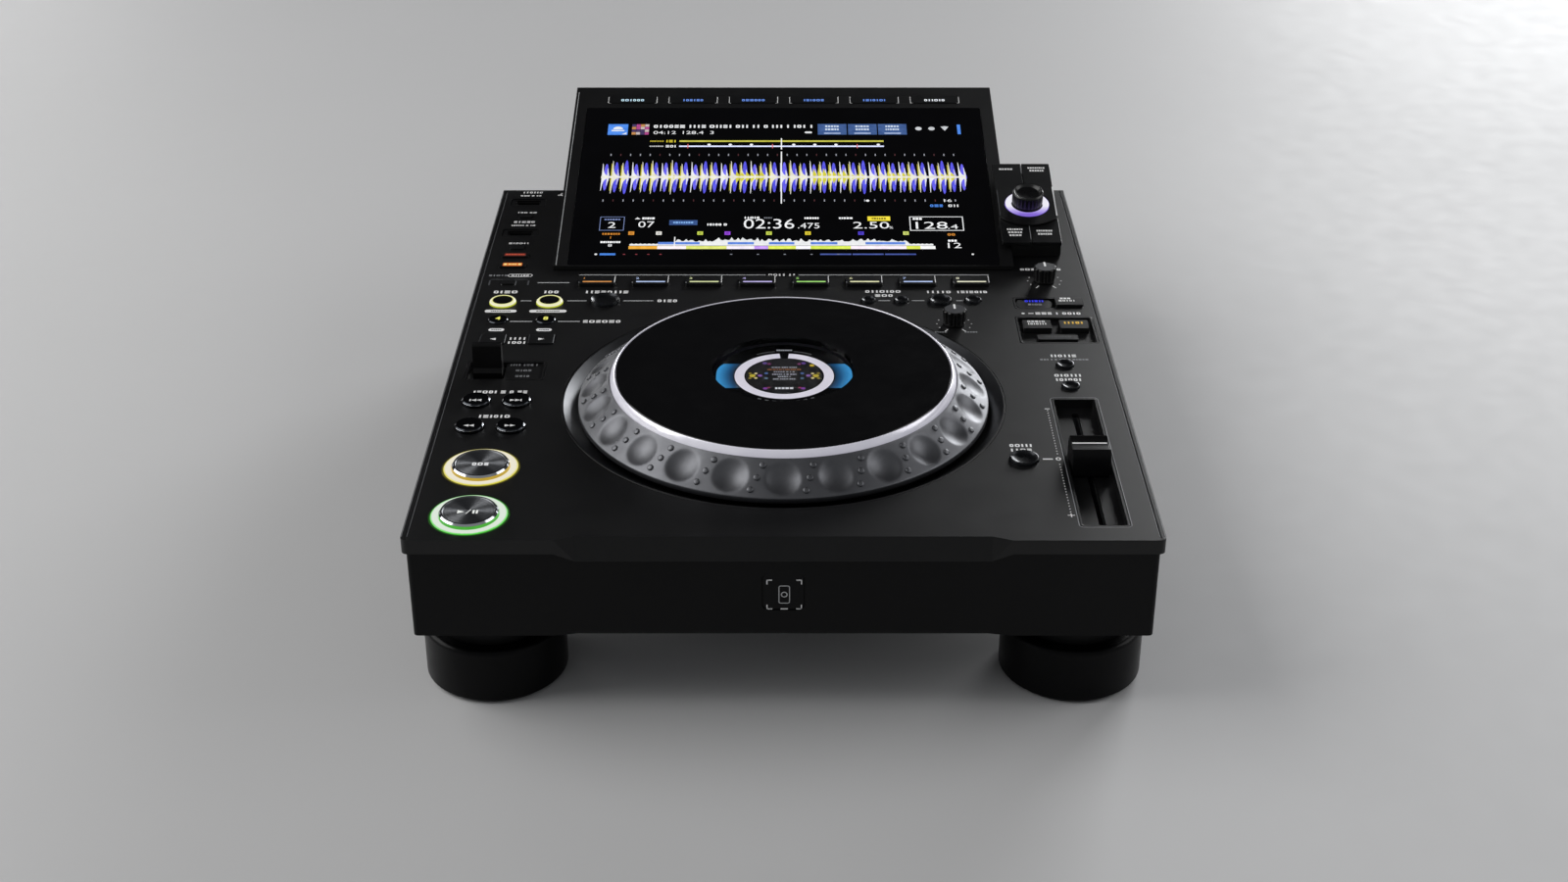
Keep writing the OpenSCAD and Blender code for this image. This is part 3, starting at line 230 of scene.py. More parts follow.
LOOK = {
    "deck": moulded("deck_satin", "09090a", "0c0c0d", 0.4, 0.04, 2400, 0.16, 22, Specular_IOR_Level=0.36),
    "case": moulded("case_satin", "070708", "0a0a0b", 0.42, 0.05, 1500, 0.3, 18, Specular_IOR_Level=0.16),
    "housing": moulded("housing_satin", "0a0a0b", "0d0d0e", 0.38, 0.05, 2400, 0.16, 25, Specular_IOR_Level=0.45),
    "steel": moulded("painted_steel", "111113", "171819", 0.5, 0.06, 1200, 0.2, 25),
    "rubber": moulded("foot_rubber", "040405", "060607", 0.32, 0.05, 1800, 0.1, 60, Specular_IOR_Level=0.12),
    "zinc": moulded("zinc_screw", "8f9194", "a9abae", 0.34, 0.08, 3000, 0.2, 400, Metallic=1.0),
    "board": moulded("solder_mask", "0c3a20", "14502c", 0.3, 0.05, 900, 0.1, 60),
    "supply": moulded("supply_plate", "85878a", "9c9ea1", 0.36, 0.06, 1600, 0.15, 50, Metallic=1.0),
    "socket": moulded("socket_black", "0d0d0e", "131314", 0.42, 0.06, 2500, 0.15, 120),
    "tray": moulded("tray_black", "080809", "0c0c0d", 0.34, 0.05, 2500, 0.12, 90),
    "dish": glossy("dish_chrome", "2a2b2e", "333538", 0.26, Metallic=0.85),
    "badge": moulded("badge_satin", "08080a", "0b0b0c", 0.4, 0.05, 2500, 0.12, 90, Specular_IOR_Level=0.16),
    "cap": moulded("cap_black", "0a0a0b", "0e0e0f", 0.36, 0.05, 2800, 0.12, 150, Specular_IOR_Level=0.14),
    "knob_top": moulded("knob_top", "3a3b3e", "46474a", 0.34, 0.05, 2800, 0.2, 150),
    "key": moulded("key_satin", "0b0b0c", "101112", 0.32, 0.05, 2800, 0.12, 150),
    "knob": moulded("knob_black", "080809", "0d0d0e", 0.3, 0.06, 2800, 0.15, 150),
    "well": moulded("well_satin", "3a3b3e", "424346", 0.34, 0.04, 2200, 0.12, 40, Metallic=1.0),
    "ring": moulded("jog_satin", "66676b", "717276", 0.47, 0.04, 2600, 0.12, 60, Metallic=0.97),
    # The jog band glows faintly: a painted glow that stands in for the bright reflections on its metal
    "band": glossy("bright_band", "efeef6", "fbfaff", 0.2, Metallic=0.3, Emission_Color=rgb("e9e6fa"),
                   Emission_Strength=0.22),
    "plate": glossy("platter_black", "070708", "0a0a0b", 0.16, Specular_IOR_Level=0.36),
    "lens": glossy("clear_lens", "f2f4f8", "ffffff", 0.03, Transmission_Weight=1.0, IOR=1.01),
    "glass": glossy("screen_glass", "020203", "040406", 0.07),
    "chrome_dark": glossy("dark_chrome", "34363a", "424549", 0.14, Metallic=1.0),
    "chrome": glossy("chrome_trim", "c9ccd2", "dfe2e8", 0.12, Metallic=1.0),
    # These inks draw print, and some of their lines are painted highlights on the edges of keys and housings
    "print": inked("print_white_and_highlight", "efeff0", "fafafa", 0.5),
    "print_line_and_highlight": inked("print_line_and_highlight", "b4b6b8", "c6c8ca", 0.5),
    "print_grey_and_highlight": inked("print_grey_and_highlight", "77797c", "8a8c8f", 0.5),
    "print_dim_and_highlight": inked("print_dim_and_highlight", "3c3e41", "4a4c50", 0.5),
    # Painted highlight: pale lines that stand in for the gloss on edges and grooves
    "edge_highlight": inked("painted_edge_highlight", "8c8d90", "9c9da0", 0.34, Metallic=0.3),
}


def lamp(code, strength=1.0, lift=22):
    """The lit material of a colour, made once."""
    key = f"lit_{code}_{int(strength * 100)}"
    if key not in LOOK:
        light = "".join(f"{min(255, int(code[i:i + 2], 16) + lift):02x}" for i in (0, 2, 4))
        LOOK[key] = lit(key, code, light, strength)
    return key


# Pieces
def rounded(width, depth, radius, x, y):
    """The outline of a rectangle with round corners, about a middle."""
    steps = 5
    radius = min(radius, width / 2 - 1e-4, depth / 2 - 1e-4)
    points = []
    for corner, (sx, sy) in enumerate(((1, 1), (-1, 1), (-1, -1), (1, -1))):
        for i in range(steps + 1):
            a = math.radians(90 * (corner + i / steps))
            points.append((x + sx * (width / 2 - radius) + radius * math.cos(a),
                           y + sy * (depth / 2 - radius) + radius * math.sin(a)))
    return points


def disc(radius, count, x, y):
    return [(x + radius * math.cos(math.tau * i / count), y + radius * math.sin(math.tau * i / count))
            for i in range(count)]


def anticlockwise(outline):
    """Whether a closed outline runs against the clock, as the faces below need."""
    return sum(a * d - b * c for (a, b), (c, d) in zip(outline, outline[1:] + outline[:1])) > 0


def inset(outline, by):
    """The outline moved inwards by a distance, along the halves of its corners."""
    moved = []
    for i, (x, y) in enumerate(outline):
        (ax, ay), (bx, by_) = outline[i - 1], outline[(i + 1) % len(outline)]
        u, v = Vector((x - ax, y - ay)), Vector((bx - x, by_ - y))
        n = Vector((-u.y, u.x)).normalized() + Vector((-v.y, v.x)).normalized()
        if n.length < 1e-6:
            moved.append((x, y))
            continue
        n.normalize()
        share = max(0.4, n.dot(Vector((-u.y, u.x)).normalized()))
        moved.append((x + n.x * by / share, y + n.y * by / share))
    return moved


def put(name, data):
    """A new object in the scene."""
    item = bpy.data.objects.new(name, data)
    bpy.context.scene.collection.objects.link(item)
    return item


FIGURE_HEIGHT = 0.72                      # how high a numeral of the built-in font of size 1 is


class Piece:
    """One visible piece. Its shapes are closed, in millimetres, each in a small frame of its own."""

    def __init__(self, name, body, slot="light_guide"):
        self.name, self.body, self.slot = name, body, slot
        self.verts, self.faces, self.looks, self.which, self.smooth = [], [], [], [], []
        self.place, self.look = Matrix.Identity(4), 0

    def at(self, place, look=None):
        self.place = place
        return self.paint(look) if look else self

    def paint(self, look):
        if look not in self.looks:
            self.looks.append(look)
        self.look = self.looks.index(look)
        return self

    def glow(self, code, strength=1.0, lift=22):
        return self.paint(lamp(code, strength, lift))

    def add(self, points, faces, smooth=False):
        start = len(self.verts)
        self.verts += [self.place @ (Vector(p) * MM) for p in points]
        self.faces += [[start + i for i in f] for f in faces]
        self.which += [self.look] * len(faces)
        self.smooth += [smooth] * len(faces)
        return self

    def prism(self, outline, low, high, edge=0.0):
        """A slab between two heights, its top rim rounded by edge."""
        outline = outline if anticlockwise(outline) else outline[::-1]
        rows = [(outline, low)]
        if edge:
            for a in (0, math.pi / 4, math.pi / 2):
                rows.append((inset(outline, edge * (1 - math.cos(a))), high - edge * (1 - math.sin(a))))
        else:
            rows.append((outline, high))
        n = len(outline)
        points = [(x, y, z) for row, z in rows for x, y in row]
        faces = [[r * n + i, r * n + (i + 1) % n, (r + 1) * n + (i + 1) % n, (r + 1) * n + i]
                 for r in range(len(rows) - 1) for i in range(n)]
        self.add(points, faces + [list(range(n))[::-1], list(range((len(rows) - 1) * n, len(rows) * n))])
        return self

    def bar(self, x, y, width, depth, low, high, radius=0.0, edge=0.0):
        outline = rounded(width, depth, radius, x, y) if radius else [
            (x - width / 2, y - depth / 2), (x + width / 2, y - depth / 2),
            (x + width / 2, y + depth / 2), (x - width / 2, y + depth / 2)]
        return self.prism(outline, low, high, edge)

    def line(self, x0, y0, x1, y1, width, low, high):
        d = Vector((x1 - x0, y1 - y0)).normalized() * width / 2
        return self.prism([(x0 + d.y, y0 - d.x), (x1 + d.y, y1 - d.x), (x1 - d.y, y1 + d.x), (x0 - d.y, y0 + d.x)],
                          low, high)

    def frame(self, x, y, width, depth, line, low, high, radius=0.0):
        """A hollow rectangle drawn with a line."""
        outer = rounded(width, depth, max(radius, 0.01), x, y)
        return self.hoop(outer, inset(outer, line), low, high)

    def hoop(self, outer, inner, low, high):
        """The slab between two outlines with as many points."""
        n = len(outer)
        points = [(x, y, z) for z in (low, high) for row in (outer, inner) for x, y in row]
        faces = []
        for i in range(n):
            j = (i + 1) % n
            faces += [[i, j, 2 * n + j, 2 * n + i], [n + j, n + i, 3 * n + i, 3 * n + j],
                      [2 * n + i, 2 * n + j, 3 * n + j, 3 * n + i], [j, i, n + i, n + j]]
        return self.add(points, faces)

    def dot(self, radius, count, x, y, low, high):
        return self.prism(disc(radius, count, x, y), low, high)

    def arc(self, r0, r1, start, end, low, high, x=0.0, y=0.0, count=96):
        """Part of a flat ring between two angles in degrees, or the whole ring."""
        if end - start >= 359.99:
            return self.hoop(disc(r1, count, x, y), disc(r0, count, x, y), low, high)
        count = max(3, int((end - start) / 4))
        turns = [math.radians(start + (end - start) * i / count) for i in range(count + 1)]
        outline = ([(x + r1 * math.cos(a), y + r1 * math.sin(a)) for a in turns]
                   + [(x + r0 * math.cos(a), y + r0 * math.sin(a)) for a in reversed(turns)])
        return self.prism(outline, low, high)

    def lathe(self, profile, count=96):
        """A closed profile of (radius, height) turned about the small frame's z. Radius 0 makes a pole."""
        points, index = [], []
        for r, z in profile:
            if r < 1e-6:
                index.append([len(points)] * count)
                points.append((0, 0, z))
            else:
                index.append(list(range(len(points), len(points) + count)))
                points += [(r * math.cos(math.tau * i / count), r * math.sin(math.tau * i / count), z)
                           for i in range(count)]
        faces = []
        outward = 1 if anticlockwise(profile) else -1
        for k, low in enumerate(index):
            high = index[(k + 1) % len(index)]
            if low[0] == low[1] and high[0] == high[1]:
                continue
            for i in range(count):
                j = (i + 1) % count
                face = [low[i], low[j], high[j], high[i]]
                faces.append([v for n, v in enumerate(face) if v not in face[:n]][::outward])
        return self.add(points, faces, True)

    def digits(self, text, x, y, size, low, high, wide=1.25, bold=0.02):
        """Plain numerals and signs, as wide bold figures of that height."""
        curve = bpy.data.curves.new("digits", "FONT")
        curve.body, curve.size, curve.extrude, curve.offset = text, 1.0, 0.1, bold
        curve.align_x, curve.align_y, curve.resolution_u = "CENTER", "CENTER", 3
        holder = bpy.data.objects.new("digits", curve)
        mesh = bpy.data.meshes.new_from_object(holder)
        scale = size / FIGURE_HEIGHT
        points = [(x + v.co.x * scale * wide, y + v.co.y * scale, high if v.co.z > 0 else low) for v in mesh.vertices]
        self.add(points, [list(p.vertices) for p in mesh.polygons])
        for block, item in ((bpy.data.meshes, mesh), (bpy.data.objects, holder), (bpy.data.curves, curve)):
            block.remove(item)
        return self

    def blocks(self, x, y, width, height, low, high, seed, words=1):
        """A line of small blocks in the place of lettering."""
        draw = random.Random(seed)
        sizes, at = [], 0.0
        while at < width:
            w = height * draw.choice((0.45, 0.6, 0.75, 0.75, 0.9))
            gap = height * 0.24
            if words > 1 and draw.random() < 0.16 * words and len(sizes) > 1:
                gap = height * 0.7
            sizes.append((at, w))
            at += w + gap
        scale = width / (sizes[-1][0] + sizes[-1][1])
        thick = height * 0.26
        for at, w in sizes:
            mid, w = x - width / 2 + (at + w / 2) * scale, w * scale
            if height < 1.85 or w < 2.6 * thick:
                self.bar(mid, y, min(w, thick * 1.2) if height >= 1.85 else w, height, low, high)
            elif draw.random() < 0.35:
                for k in (-1, 0, 1):
                    self.bar(mid, y + k * (height - thick) / 2, w, thick, low, high)
            else:
                self.frame(mid, y, w, height, thick, low, high, thick)
        return self

    def make(self, replaces=(), sharp=34):
        mesh = bpy.data.meshes.new(self.name)
        mesh.from_pydata(self.verts, [], self.faces)
        for look in self.looks:
            mesh.materials.append(LOOK[look])
        mesh.polygons.foreach_set("material_index", self.which)
        mesh.polygons.foreach_set("use_smooth", self.smooth)
        if any(self.smooth):
            mesh.set_sharp_from_angle(angle=math.radians(sharp))
        mesh.update()
        item = put(self.name, mesh)
        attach(item, self.body)
        if replaces:
            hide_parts(*replaces)


WELD_REACH = 2e-6                         # points of a CAD mesh this near, in metres, are one
FLAT_WEIGHT = 80                          # how strongly large faces keep their shading flat


def finish_node(name, look, edge, angle=32):
    """Gives a CAD node its material, and softens its edges."""
    item = nodes[name]
    item.data.materials.clear()
    item.data.materials.append(LOOK[look])
    item.data.polygons.foreach_set("material_index", [0] * len(item.data.polygons))
    if edge:
        weld = item.modifiers.new("weld", "WELD")
        weld.merge_threshold = WELD_REACH
        bevel = item.modifiers.new("edges", "BEVEL")
        bevel.width, bevel.segments, bevel.limit_method = edge * MM, 2, "ANGLE"
        bevel.angle_limit, bevel.use_clamp_overlap, bevel.profile = math.radians(angle), True, 0.5
        bevel.miter_outer = "MITER_ARC"
        even = item.modifiers.new("even", "WEIGHTED_NORMAL")
        even.keep_sharp, even.weight = False, FLAT_WEIGHT


# The CAD nodes that show, by their material and by how far their edges are softened, in mm
PADS = [f"hot_cue_{i}" for i in range(1, 9)]
FINISHES = (
    ("case", 0.4, "lower_case"), ("case", 0.3, "foot_necks"), ("steel", 0.2, "bottom_cover"),
    ("steel", 0.15, "rear_panel"), ("badge", 0.3, "front_badge"), ("rubber", 0.5, "feet"), ("zinc", 0.3, "screws"),
    ("board", 0, "main_board"), ("supply", 0.3, "power_supply"), ("supply", 0.2, "fader_unit jog_post"),
    ("supply", 0, "browse_shaft"), ("socket", 0.2, "rear_sockets"), ("socket", 0.3, "ac_inlet"),
    ("socket", 0.4, "power_switch"), ("tray", 0.2, "usb_ports"), ("tray", 0.25, "control_trays"),
    ("tray", 0, "lcd_panel"), ("tray", 0.3, "pod_housing"), ("housing", 0.4, "screen_housing"),
    ("glass", 0.25, "screen_glass"), ("band", 0.25, "jog_band"), ("plate", 0, "jog_plate jog_display"),
    ("lens", 0, "jog_lens"), ("knob", 0.25, "browse_knob jog_adjust_knob vinyl_speed_knob"),
    ("cap", 0.4, "tempo_slider"), ("cap", 0.5, "direction_lever"), ("key", 0.25, "menu_keys sync_keys"),
    ("key", 0.2, "beat_jump_back_key beat_jump_forward_key left_mode_keys"),
    ("key", 0.3, "browse_keys " + " ".join(PADS)), ("chrome_dark", 0.2, "beat_loop_keys"),
    ("chrome_dark", 0.25, "track_back_button track_forward_button search_back_button search_forward_button"),
)
finish_node("top_panel", "deck", 0.3, angle=16)
for look, edge, names in FINISHES:
    for name in names.split():
        finish_node(name, look, edge)


# Jog wheel
RING_R, RING_IN, RING_LOW, RING_HIGH = 98.5, 83.2, 0.6, 12.6
DIMPLES, DIMPLE_R, DIMPLE_DEPTH = 24, 8.1, 2.3
RIM_SOFT = 0.012                          # how softly a dimple's rim turns into the slope
SLOPE = math.hypot(RING_R - RING_IN, RING_HIGH - RING_LOW)
SLOPE_TURN = math.atan2(RING_HIGH - RING_LOW, RING_R - RING_IN)


def on_slope(s):
    """The radius and height of a point on the ring's slope, s mm inwards from its middle."""
    return ((RING_R + RING_IN) / 2 - s * math.cos(SLOPE_TURN), (RING_LOW + RING_HIGH) / 2 + s * math.sin(SLOPE_TURN))


def make_jog_ring():
    """The dimpled ring: a fine grid on its slope, pressed in where the dimples are, and its plain walls."""
    ring = Piece("jog_ring_dimpled", "jog_wheel", "jog_grey").at(deck(0, JOG_Y), "ring")
    around, along, lip = DIMPLES * 30, 26, 0.45
    slope = [-SLOPE / 2 + lip + (SLOPE - 2 * lip) * i / (along - 1) for i in range(along)]
    wall = [(95, -2), (RING_R - 0.2, -2), (RING_R, -1.8), (RING_R, RING_LOW - 0.35), (RING_R - 0.06, RING_LOW)]
    inner = [(RING_IN + 0.12, RING_HIGH - 0.02), (RING_IN, RING_HIGH - 0.3), (RING_IN, 9.3), (77.7, 9.3), (77.7, 1),
             (26.5, 1), (26.5, 6), (22.05, 6), (22.05, -2)]
    rows = [[at] * around for at in wall]
    for s in slope:
        row, (r, z) = [], on_slope(s)
        for i in range(around):
            turn = (i / around * DIMPLES + 0.5) % 1 - 0.5
            t = turn / DIMPLES * math.tau * (RING_R + RING_IN) / 2
            f = 1 - (s * s + t * t) / DIMPLE_R ** 2
            soft = 0.5 * (f + math.sqrt(f * f + RIM_SOFT))
            press = DIMPLE_DEPTH * soft * (1 if f > -0.6 else 0)
            row.append((r - press * math.sin(SLOPE_TURN), z - press * math.cos(SLOPE_TURN)))
        rows.append(row)
    rows += [[at] * around for at in inner]
    points, faces = [], []
    for row in rows:
        for i, (r, z) in enumerate(row):
            a = math.tau * i / around - math.pi / 2
            points.append((r * math.cos(a), r * math.sin(a), z))
    for k in range(len(rows)):
        for i in range(around):
            j, m = (i + 1) % around, (k + 1) % len(rows)
            faces.append([k * around + i, k * around + j, m * around + j, m * around + i])
    ring.add(points, faces, True)
    outside = around * (len(wall) - 1)
    ring.paint("tray").which[:outside] = [ring.look] * outside
    ring.paint("ring")
    for i in range(DIMPLES):
        for s in (-6, 0, 6):
            a = 360 * (i + 0.5) / DIMPLES - 90 + 0.23 * s
            r, z = on_slope(s)
            ring.place = (deck(0, JOG_Y, 0, a) @ Matrix.Translation((r * MM, 0, z * MM))
                          @ Matrix.Rotation(SLOPE_TURN, 4, "Y"))
            ring.lathe([(0, -0.4), (1.5, -0.4), (1.5, 0.3), (1.32, 0.56), (0.85, 0.7), (0, 0.73)], 20)
    ring.make(["jog_ring"], sharp=50)


make_jog_ring()

# The well around the wheel: a shallow cone that runs down under the ring
WELL_R, WELL_FLOOR = 106.5, -6
well = Piece("jog_well_cone", "case", "well_plastic").at(deck(0, JOG_Y), "well")
well.paint("deck").lathe([(WELL_R - 0.9, 0), (WELL_R - 0.1, 0), (WELL_R, -0.1), (WELL_R, -0.9),
                          (WELL_R - 0.9, -0.9)], 192)
well.paint("well").lathe([(WELL_R - 0.94, -0.05), (WELL_R - 0.9, -0.95), (WELL_R, -0.95), (WELL_R, COLLAR_TOP),
                          (WELL_R + 2, COLLAR_TOP), (WELL_R + 2, -4.8), (WELL_R - 0.5, -4.8), (WELL_R - 2.5, -8),
                          (25.3, -8), (25.3, WELL_FLOOR), (96, WELL_FLOOR), (97.4, -5.3)], 192)
well.make(["jog_well"])

# Dark line between the dimpled ring and the bright band
Piece("jog_line", "jog_wheel", "gloss_black").at(deck(0, JOG_Y), "plate").lathe(
    [(RING_IN - 0.26, 9.32), (RING_IN - 0.02, 9.32), (RING_IN - 0.02, 11.9), (RING_IN - 0.26, 11.9)]).make()

# Display in the middle of the wheel: a white ring open at the top, blue crescents, fine arcs, and a pattern
DISPLAY_X, DISPLAY_Y, DISPLAY_Z = 0.4, JOG_Y - 0.6, 11.7
show = Piece("jog_graphics", "case", "display").at(deck(DISPLAY_X, DISPLAY_Y, DISPLAY_Z))
show.glow("d2ced9", 0.98, 5).arc(19.1, 23.8, 95.6, 444.4, -0.2, 0.12)
LOOK["crescent"] = graded("lit_crescent", 0.0245, 0.0322, ((0, "0a1420"), (0.35, "12507e"), (0.9, "3892cc")), 0.9,
                          tuple(deck(DISPLAY_X, DISPLAY_Y).translation))
for side in (-1, 1):
    rim = [(side * (32.6 - 3.4 * abs(v / 12.6) ** 3.2), v) for v in (1.8 * k for k in range(-7, 8))]
    rim += [(side * math.sqrt(24.3 ** 2 - v * v), v) for v in (12.6 - 1.8 * k for k in range(15))]
    show.paint("crescent").prism(rim, -0.2, 0.1)
show.paint("print_grey_and_highlight")
for start, end in ((60, 80), (100, 120)):
    show.arc(26.4, 26.7, start, end, -0.2, 0.08)
for start in range(242, 300, 8):
    show.arc(26.3, 26.8, start, start + 4, -0.2, 0.08)
show.glow("a9acb2", 0.7).blocks(0, 27.6, 7.5, 1.2, -0.2, 0.1, seed=4)
show.glow("0b0c12", 0.2, 4).arc(0.01, 18.4, 0, 360, -0.2, 0.05)
for side in (-1, 1):
    for u, v, r, code in ((15.2, 0, 1.5, "b8a62a"), (13.6, 2.4, 0.8, "d8c890"), (13.6, -2.4, 0.8, "d8c890"),
                          (16.4, 2.6, 0.8, "8a7a20"), (16.4, -2.6, 0.8, "8a7a20"), (11.6, 0.2, 1.1, "7d52a8"),
                          (8.6, 2.6, 0.9, "41609c"), (8.6, -2.6, 0.9, "56708c"), (9.4, 13.4, 1.1, "5a3a8e"),
                          (7.2, 12.6, 0.9, "7a2c66"), (9, -13.2, 1.1, "7a3c98"), (7.4, -12.4, 0.8, "8a2c50")):
        show.glow(code, 0.85, 10).dot(r, 12, side * u, v, -0.1, 0.09)
show.glow("c8ab20", 0.85).dot(1.2, 12, 13.4, 11, -0.1, 0.09)
show.glow("a2a5b0", 0.7)
for k, (v, width) in enumerate(((8.9, 12), (4.2, 10), (1.5, 11.5), (-0.9, 6), (-3.4, 10.5))):
    show.blocks(0, v, width, 1.1, -0.1, 0.1, seed=20 + k, words=2)
show.glow("b4703c", 0.7).blocks(0, 6.6, 16, 0.8, -0.1, 0.1, seed=28, words=3)
show.glow("d4d6dc", 0.8).blocks(0, -13, 8.6, 1.8, -0.1, 0.1, seed=26)
show.make()


# Large keys: lit rings, spun caps, marks, and a painted reflection of each ring's light on its cap's wall
def make_big_key(name, y, inner_code, middle_code, edge_code):
    place = deck(LEFT + 27.2, y)
    centre = tuple(place.translation)
    look = f"{name}_glow"
    stops = ((0, inner_code), (0.14, middle_code), (0.74, middle_code), (0.92, edge_code))
    LOOK[look] = graded(f"lit_{look}", 0.0132, 0.0169, stops, 0.95, centre)
    ring = Piece(f"{name}_ring", "case").at(place, look)
    ring.lathe([(13.3, -3.5), (13.3, 0.25), (13.45, 0.4), (16.35, 0.4), (16.7, 0.3), (16.9, 0.05), (16.9, -3.5)])
    ring.glow(edge_code, 0.12, 0)
    ring.lathe([(16.9, -3.4), (16.9, -0.05), (17.6, -0.05), (17.6, COLLAR_TOP), (19, COLLAR_TOP), (19, -3.4)])
    ring.make(["light_rings"])
    look = f"{name}_spun"
    LOOK[look] = spun(look, centre, "6e7074", "8a8c90", 0.42)
    finish_node(f"{name}_button", look, 0.25)
    trim = Piece(f"{name}_bevel", f"{name}_button", "dark_chrome").at(place, "chrome")
    trim.lathe([(12.05, 2.2), (12.8, 1.6), (13.02, 1.72), (12.3, 2.56), (12.1, 2.6), (11.75, 2.6), (11.65, 2.3)])
    # Painted reflection: a thin glowing strip on the cap's lower wall stands in for the ring's coloured light mirrored
    # in it
    trim.glow(inner_code, 0.75, 12).lathe([(12.9, -0.6), (13.06, -0.6), (13.06, 1.66), (12.9, 1.6)])
    trim.make()
    return place


BIG_MARK = (2.2, 2.36)
place = make_big_key("cue", 64, "c9a41c", "eee8d4", "ddd23c")
Piece("cue_mark", "cue_button").at(place, lamp("e6e7e8", 0.9, 6)).blocks(0, -1, 7.4, 2.6, *BIG_MARK, seed=11).make()
place = make_big_key("play", 21.5, "3cb41e", "dfeadd", "55d840")
mark = Piece("play_mark", "play_button").at(place, lamp("eef2ee", 0.9, 6))
mark.prism([(-4.8, -2.6), (-1.9, -1.2), (-4.8, 0.2)], *BIG_MARK).line(-0.9, -3, 0.9, 0.8, 0.3, *BIG_MARK)
mark.bar(2.3, -1.2, 0.9, 2.8, *BIG_MARK).bar(3.8, -1.2, 0.9, 2.8, *BIG_MARK).make()


# Loop keys: a lit cap around a black centre
LOOP_STOPS = ((0, "c8c93a"), (0.25, "ecebb4"), (0.8, "efeccb"), (0.98, "c9d23c"))
for name, x in zip(("loop_in_button", "loop_out_button"), COLUMNS):
    look, place = f"{name}_glow", deck(x, LOOP_Y)
    LOOK[look] = graded(f"lit_{look}", 0.0052, 0.0071, LOOP_STOPS, 0.95, tuple(place.translation))
    cap = Piece(f"{name}_cap", name).at(place, look)
    cap.lathe([(5.2, KEY_FOOT), (8.1, KEY_FOOT), (8.1, COLLAR_TOP), (6.9, COLLAR_TOP), (6.9, 0.5), (6.75, 0.95),
               (6.4, 1.32), (5.9, 1.5), (5.2, 1.5)], 64)
    cap.glow("c2cc24", 0.8).lathe([(6.9, -2.4), (7.02, -2.4), (7.02, 0.35), (6.9, 0.55)], 64)
    cap.paint("plate").lathe([(0, -3.9), (5.2, -3.9), (5.2, 1.42), (5, 1.48), (0, 1.44)], 64)
    cap.make([name])


# Round keys with a polished dish
def dished(piece, x, y, d, rise, hollow):
    """One key: its collar, its wall and a dish that is steepest at its rim."""
    r = d / 2
    lip = r - 0.45
    bowl = [(lip * k, rise - hollow * (1 - k ** 4)) for k in (1, 0.96, 0.91, 0.85, 0.78, 0.7, 0.6, 0.48, 0.3, 0)]
    wall = [(0, KEY_FOOT), (r + 1.2, KEY_FOOT), (r + 1.2, COLLAR_TOP), (r, COLLAR_TOP), (r, rise - 0.35),
            (r - 0.12, rise - 0.08)]
    piece.at(deck(x, y), "dish").lathe(wall + bowl, 64)


for name, keys in (("reloop_button", ((-93.8, 243, 15.5, 1.5, 1.7),)),
                   ("memory_keys", ((44.7, 243.3, 7.5, 1.1, 0.9), (62.1, 243.3, 7.5, 1.1, 0.9),
                                    (82.4, 243, 11.8, 1.4, 1.5), (99.8, 243.6, 8.7, 1.1, 1))),
                   ("tempo_keys", ((139.7, 167.8, 8.7, 1.1, 1), (139.8, 144.7, 8.7, 1.1, 1),
                                   (110.1, 71.6, 13.3, 1.4, 1.6)))):
    cap = Piece(f"{name}_dish", name, "dark_chrome")
    for key in keys:
        dished(cap, *key)
    cap.make([name])


# Marks on the keys
def arrow(piece, x, y, size, side, low, high):
    """A small triangle that points to the right (side 1) or to the left (side -1)."""
    corners = ((0.5, 0.0), (-0.5, 0.42), (-0.5, -0.42))
    return piece.prism([(x + size * u * side, y + size * v * side) for u, v in corners], low, high)


ROUND_MARK = (1.9, 2.06)
for kind, y in (("track", 128), ("search", 102.3)):
    for word, side, x in (("back", -1, LEFT + 17.1), ("forward", 1, LEFT + 36.5)):
        name = f"{kind}_{word}_button"
        mark = Piece(f"{name}_mark", name).at(deck(x, y - 1.8), "print")
        for k in (-1.25, 1.25):
            arrow(mark, k - (0.4 * side if kind == "track" else 0), 0, 2.5, side, *ROUND_MARK)
        if kind == "track":
            mark.bar(side * 2.5, 0, 0.6, 2.1, *ROUND_MARK)
        mark.make()
        Piece(f"{name}_rim", name, "dark_chrome").at(deck(x, y), "chrome").lathe(
            [(6.2, 1.9), (6.74, 1.42), (6.76, 1.3), (6.72, 1.3), (6.1, 1.8)], 64).make()

for word, side, x in zip(("back", "forward"), (-1, 1), COLUMNS):
    name = f"beat_jump_{word}_key"
    mark = arrow(Piece(f"{name}_mark", name).at(deck(x, 196.5), "print"), 0, -0.4, 3, side, 0.4, 0.56)
    # Painted highlights: a grey line on the key's right edge and a dim one on its left edge
    mark.paint("print_grey_and_highlight").bar(6.3, 0, 0.35, 9.6, 0.3, 0.53).paint("print_dim_and_highlight").bar(-6.35, 0, 0.22, 9.6, 0.3, 0.53)
    mark.make()

mark = Piece("beat_loop_numbers", "beat_loop_keys")
for text, x in zip("48", COLUMNS):
    mark.at(deck(x, 219.6), lamp("f0ec6a", 0.96)).digits(text, 0, 0.2, 3.7, 0.7, 0.88, 1.05, 0.01)
mark.make()

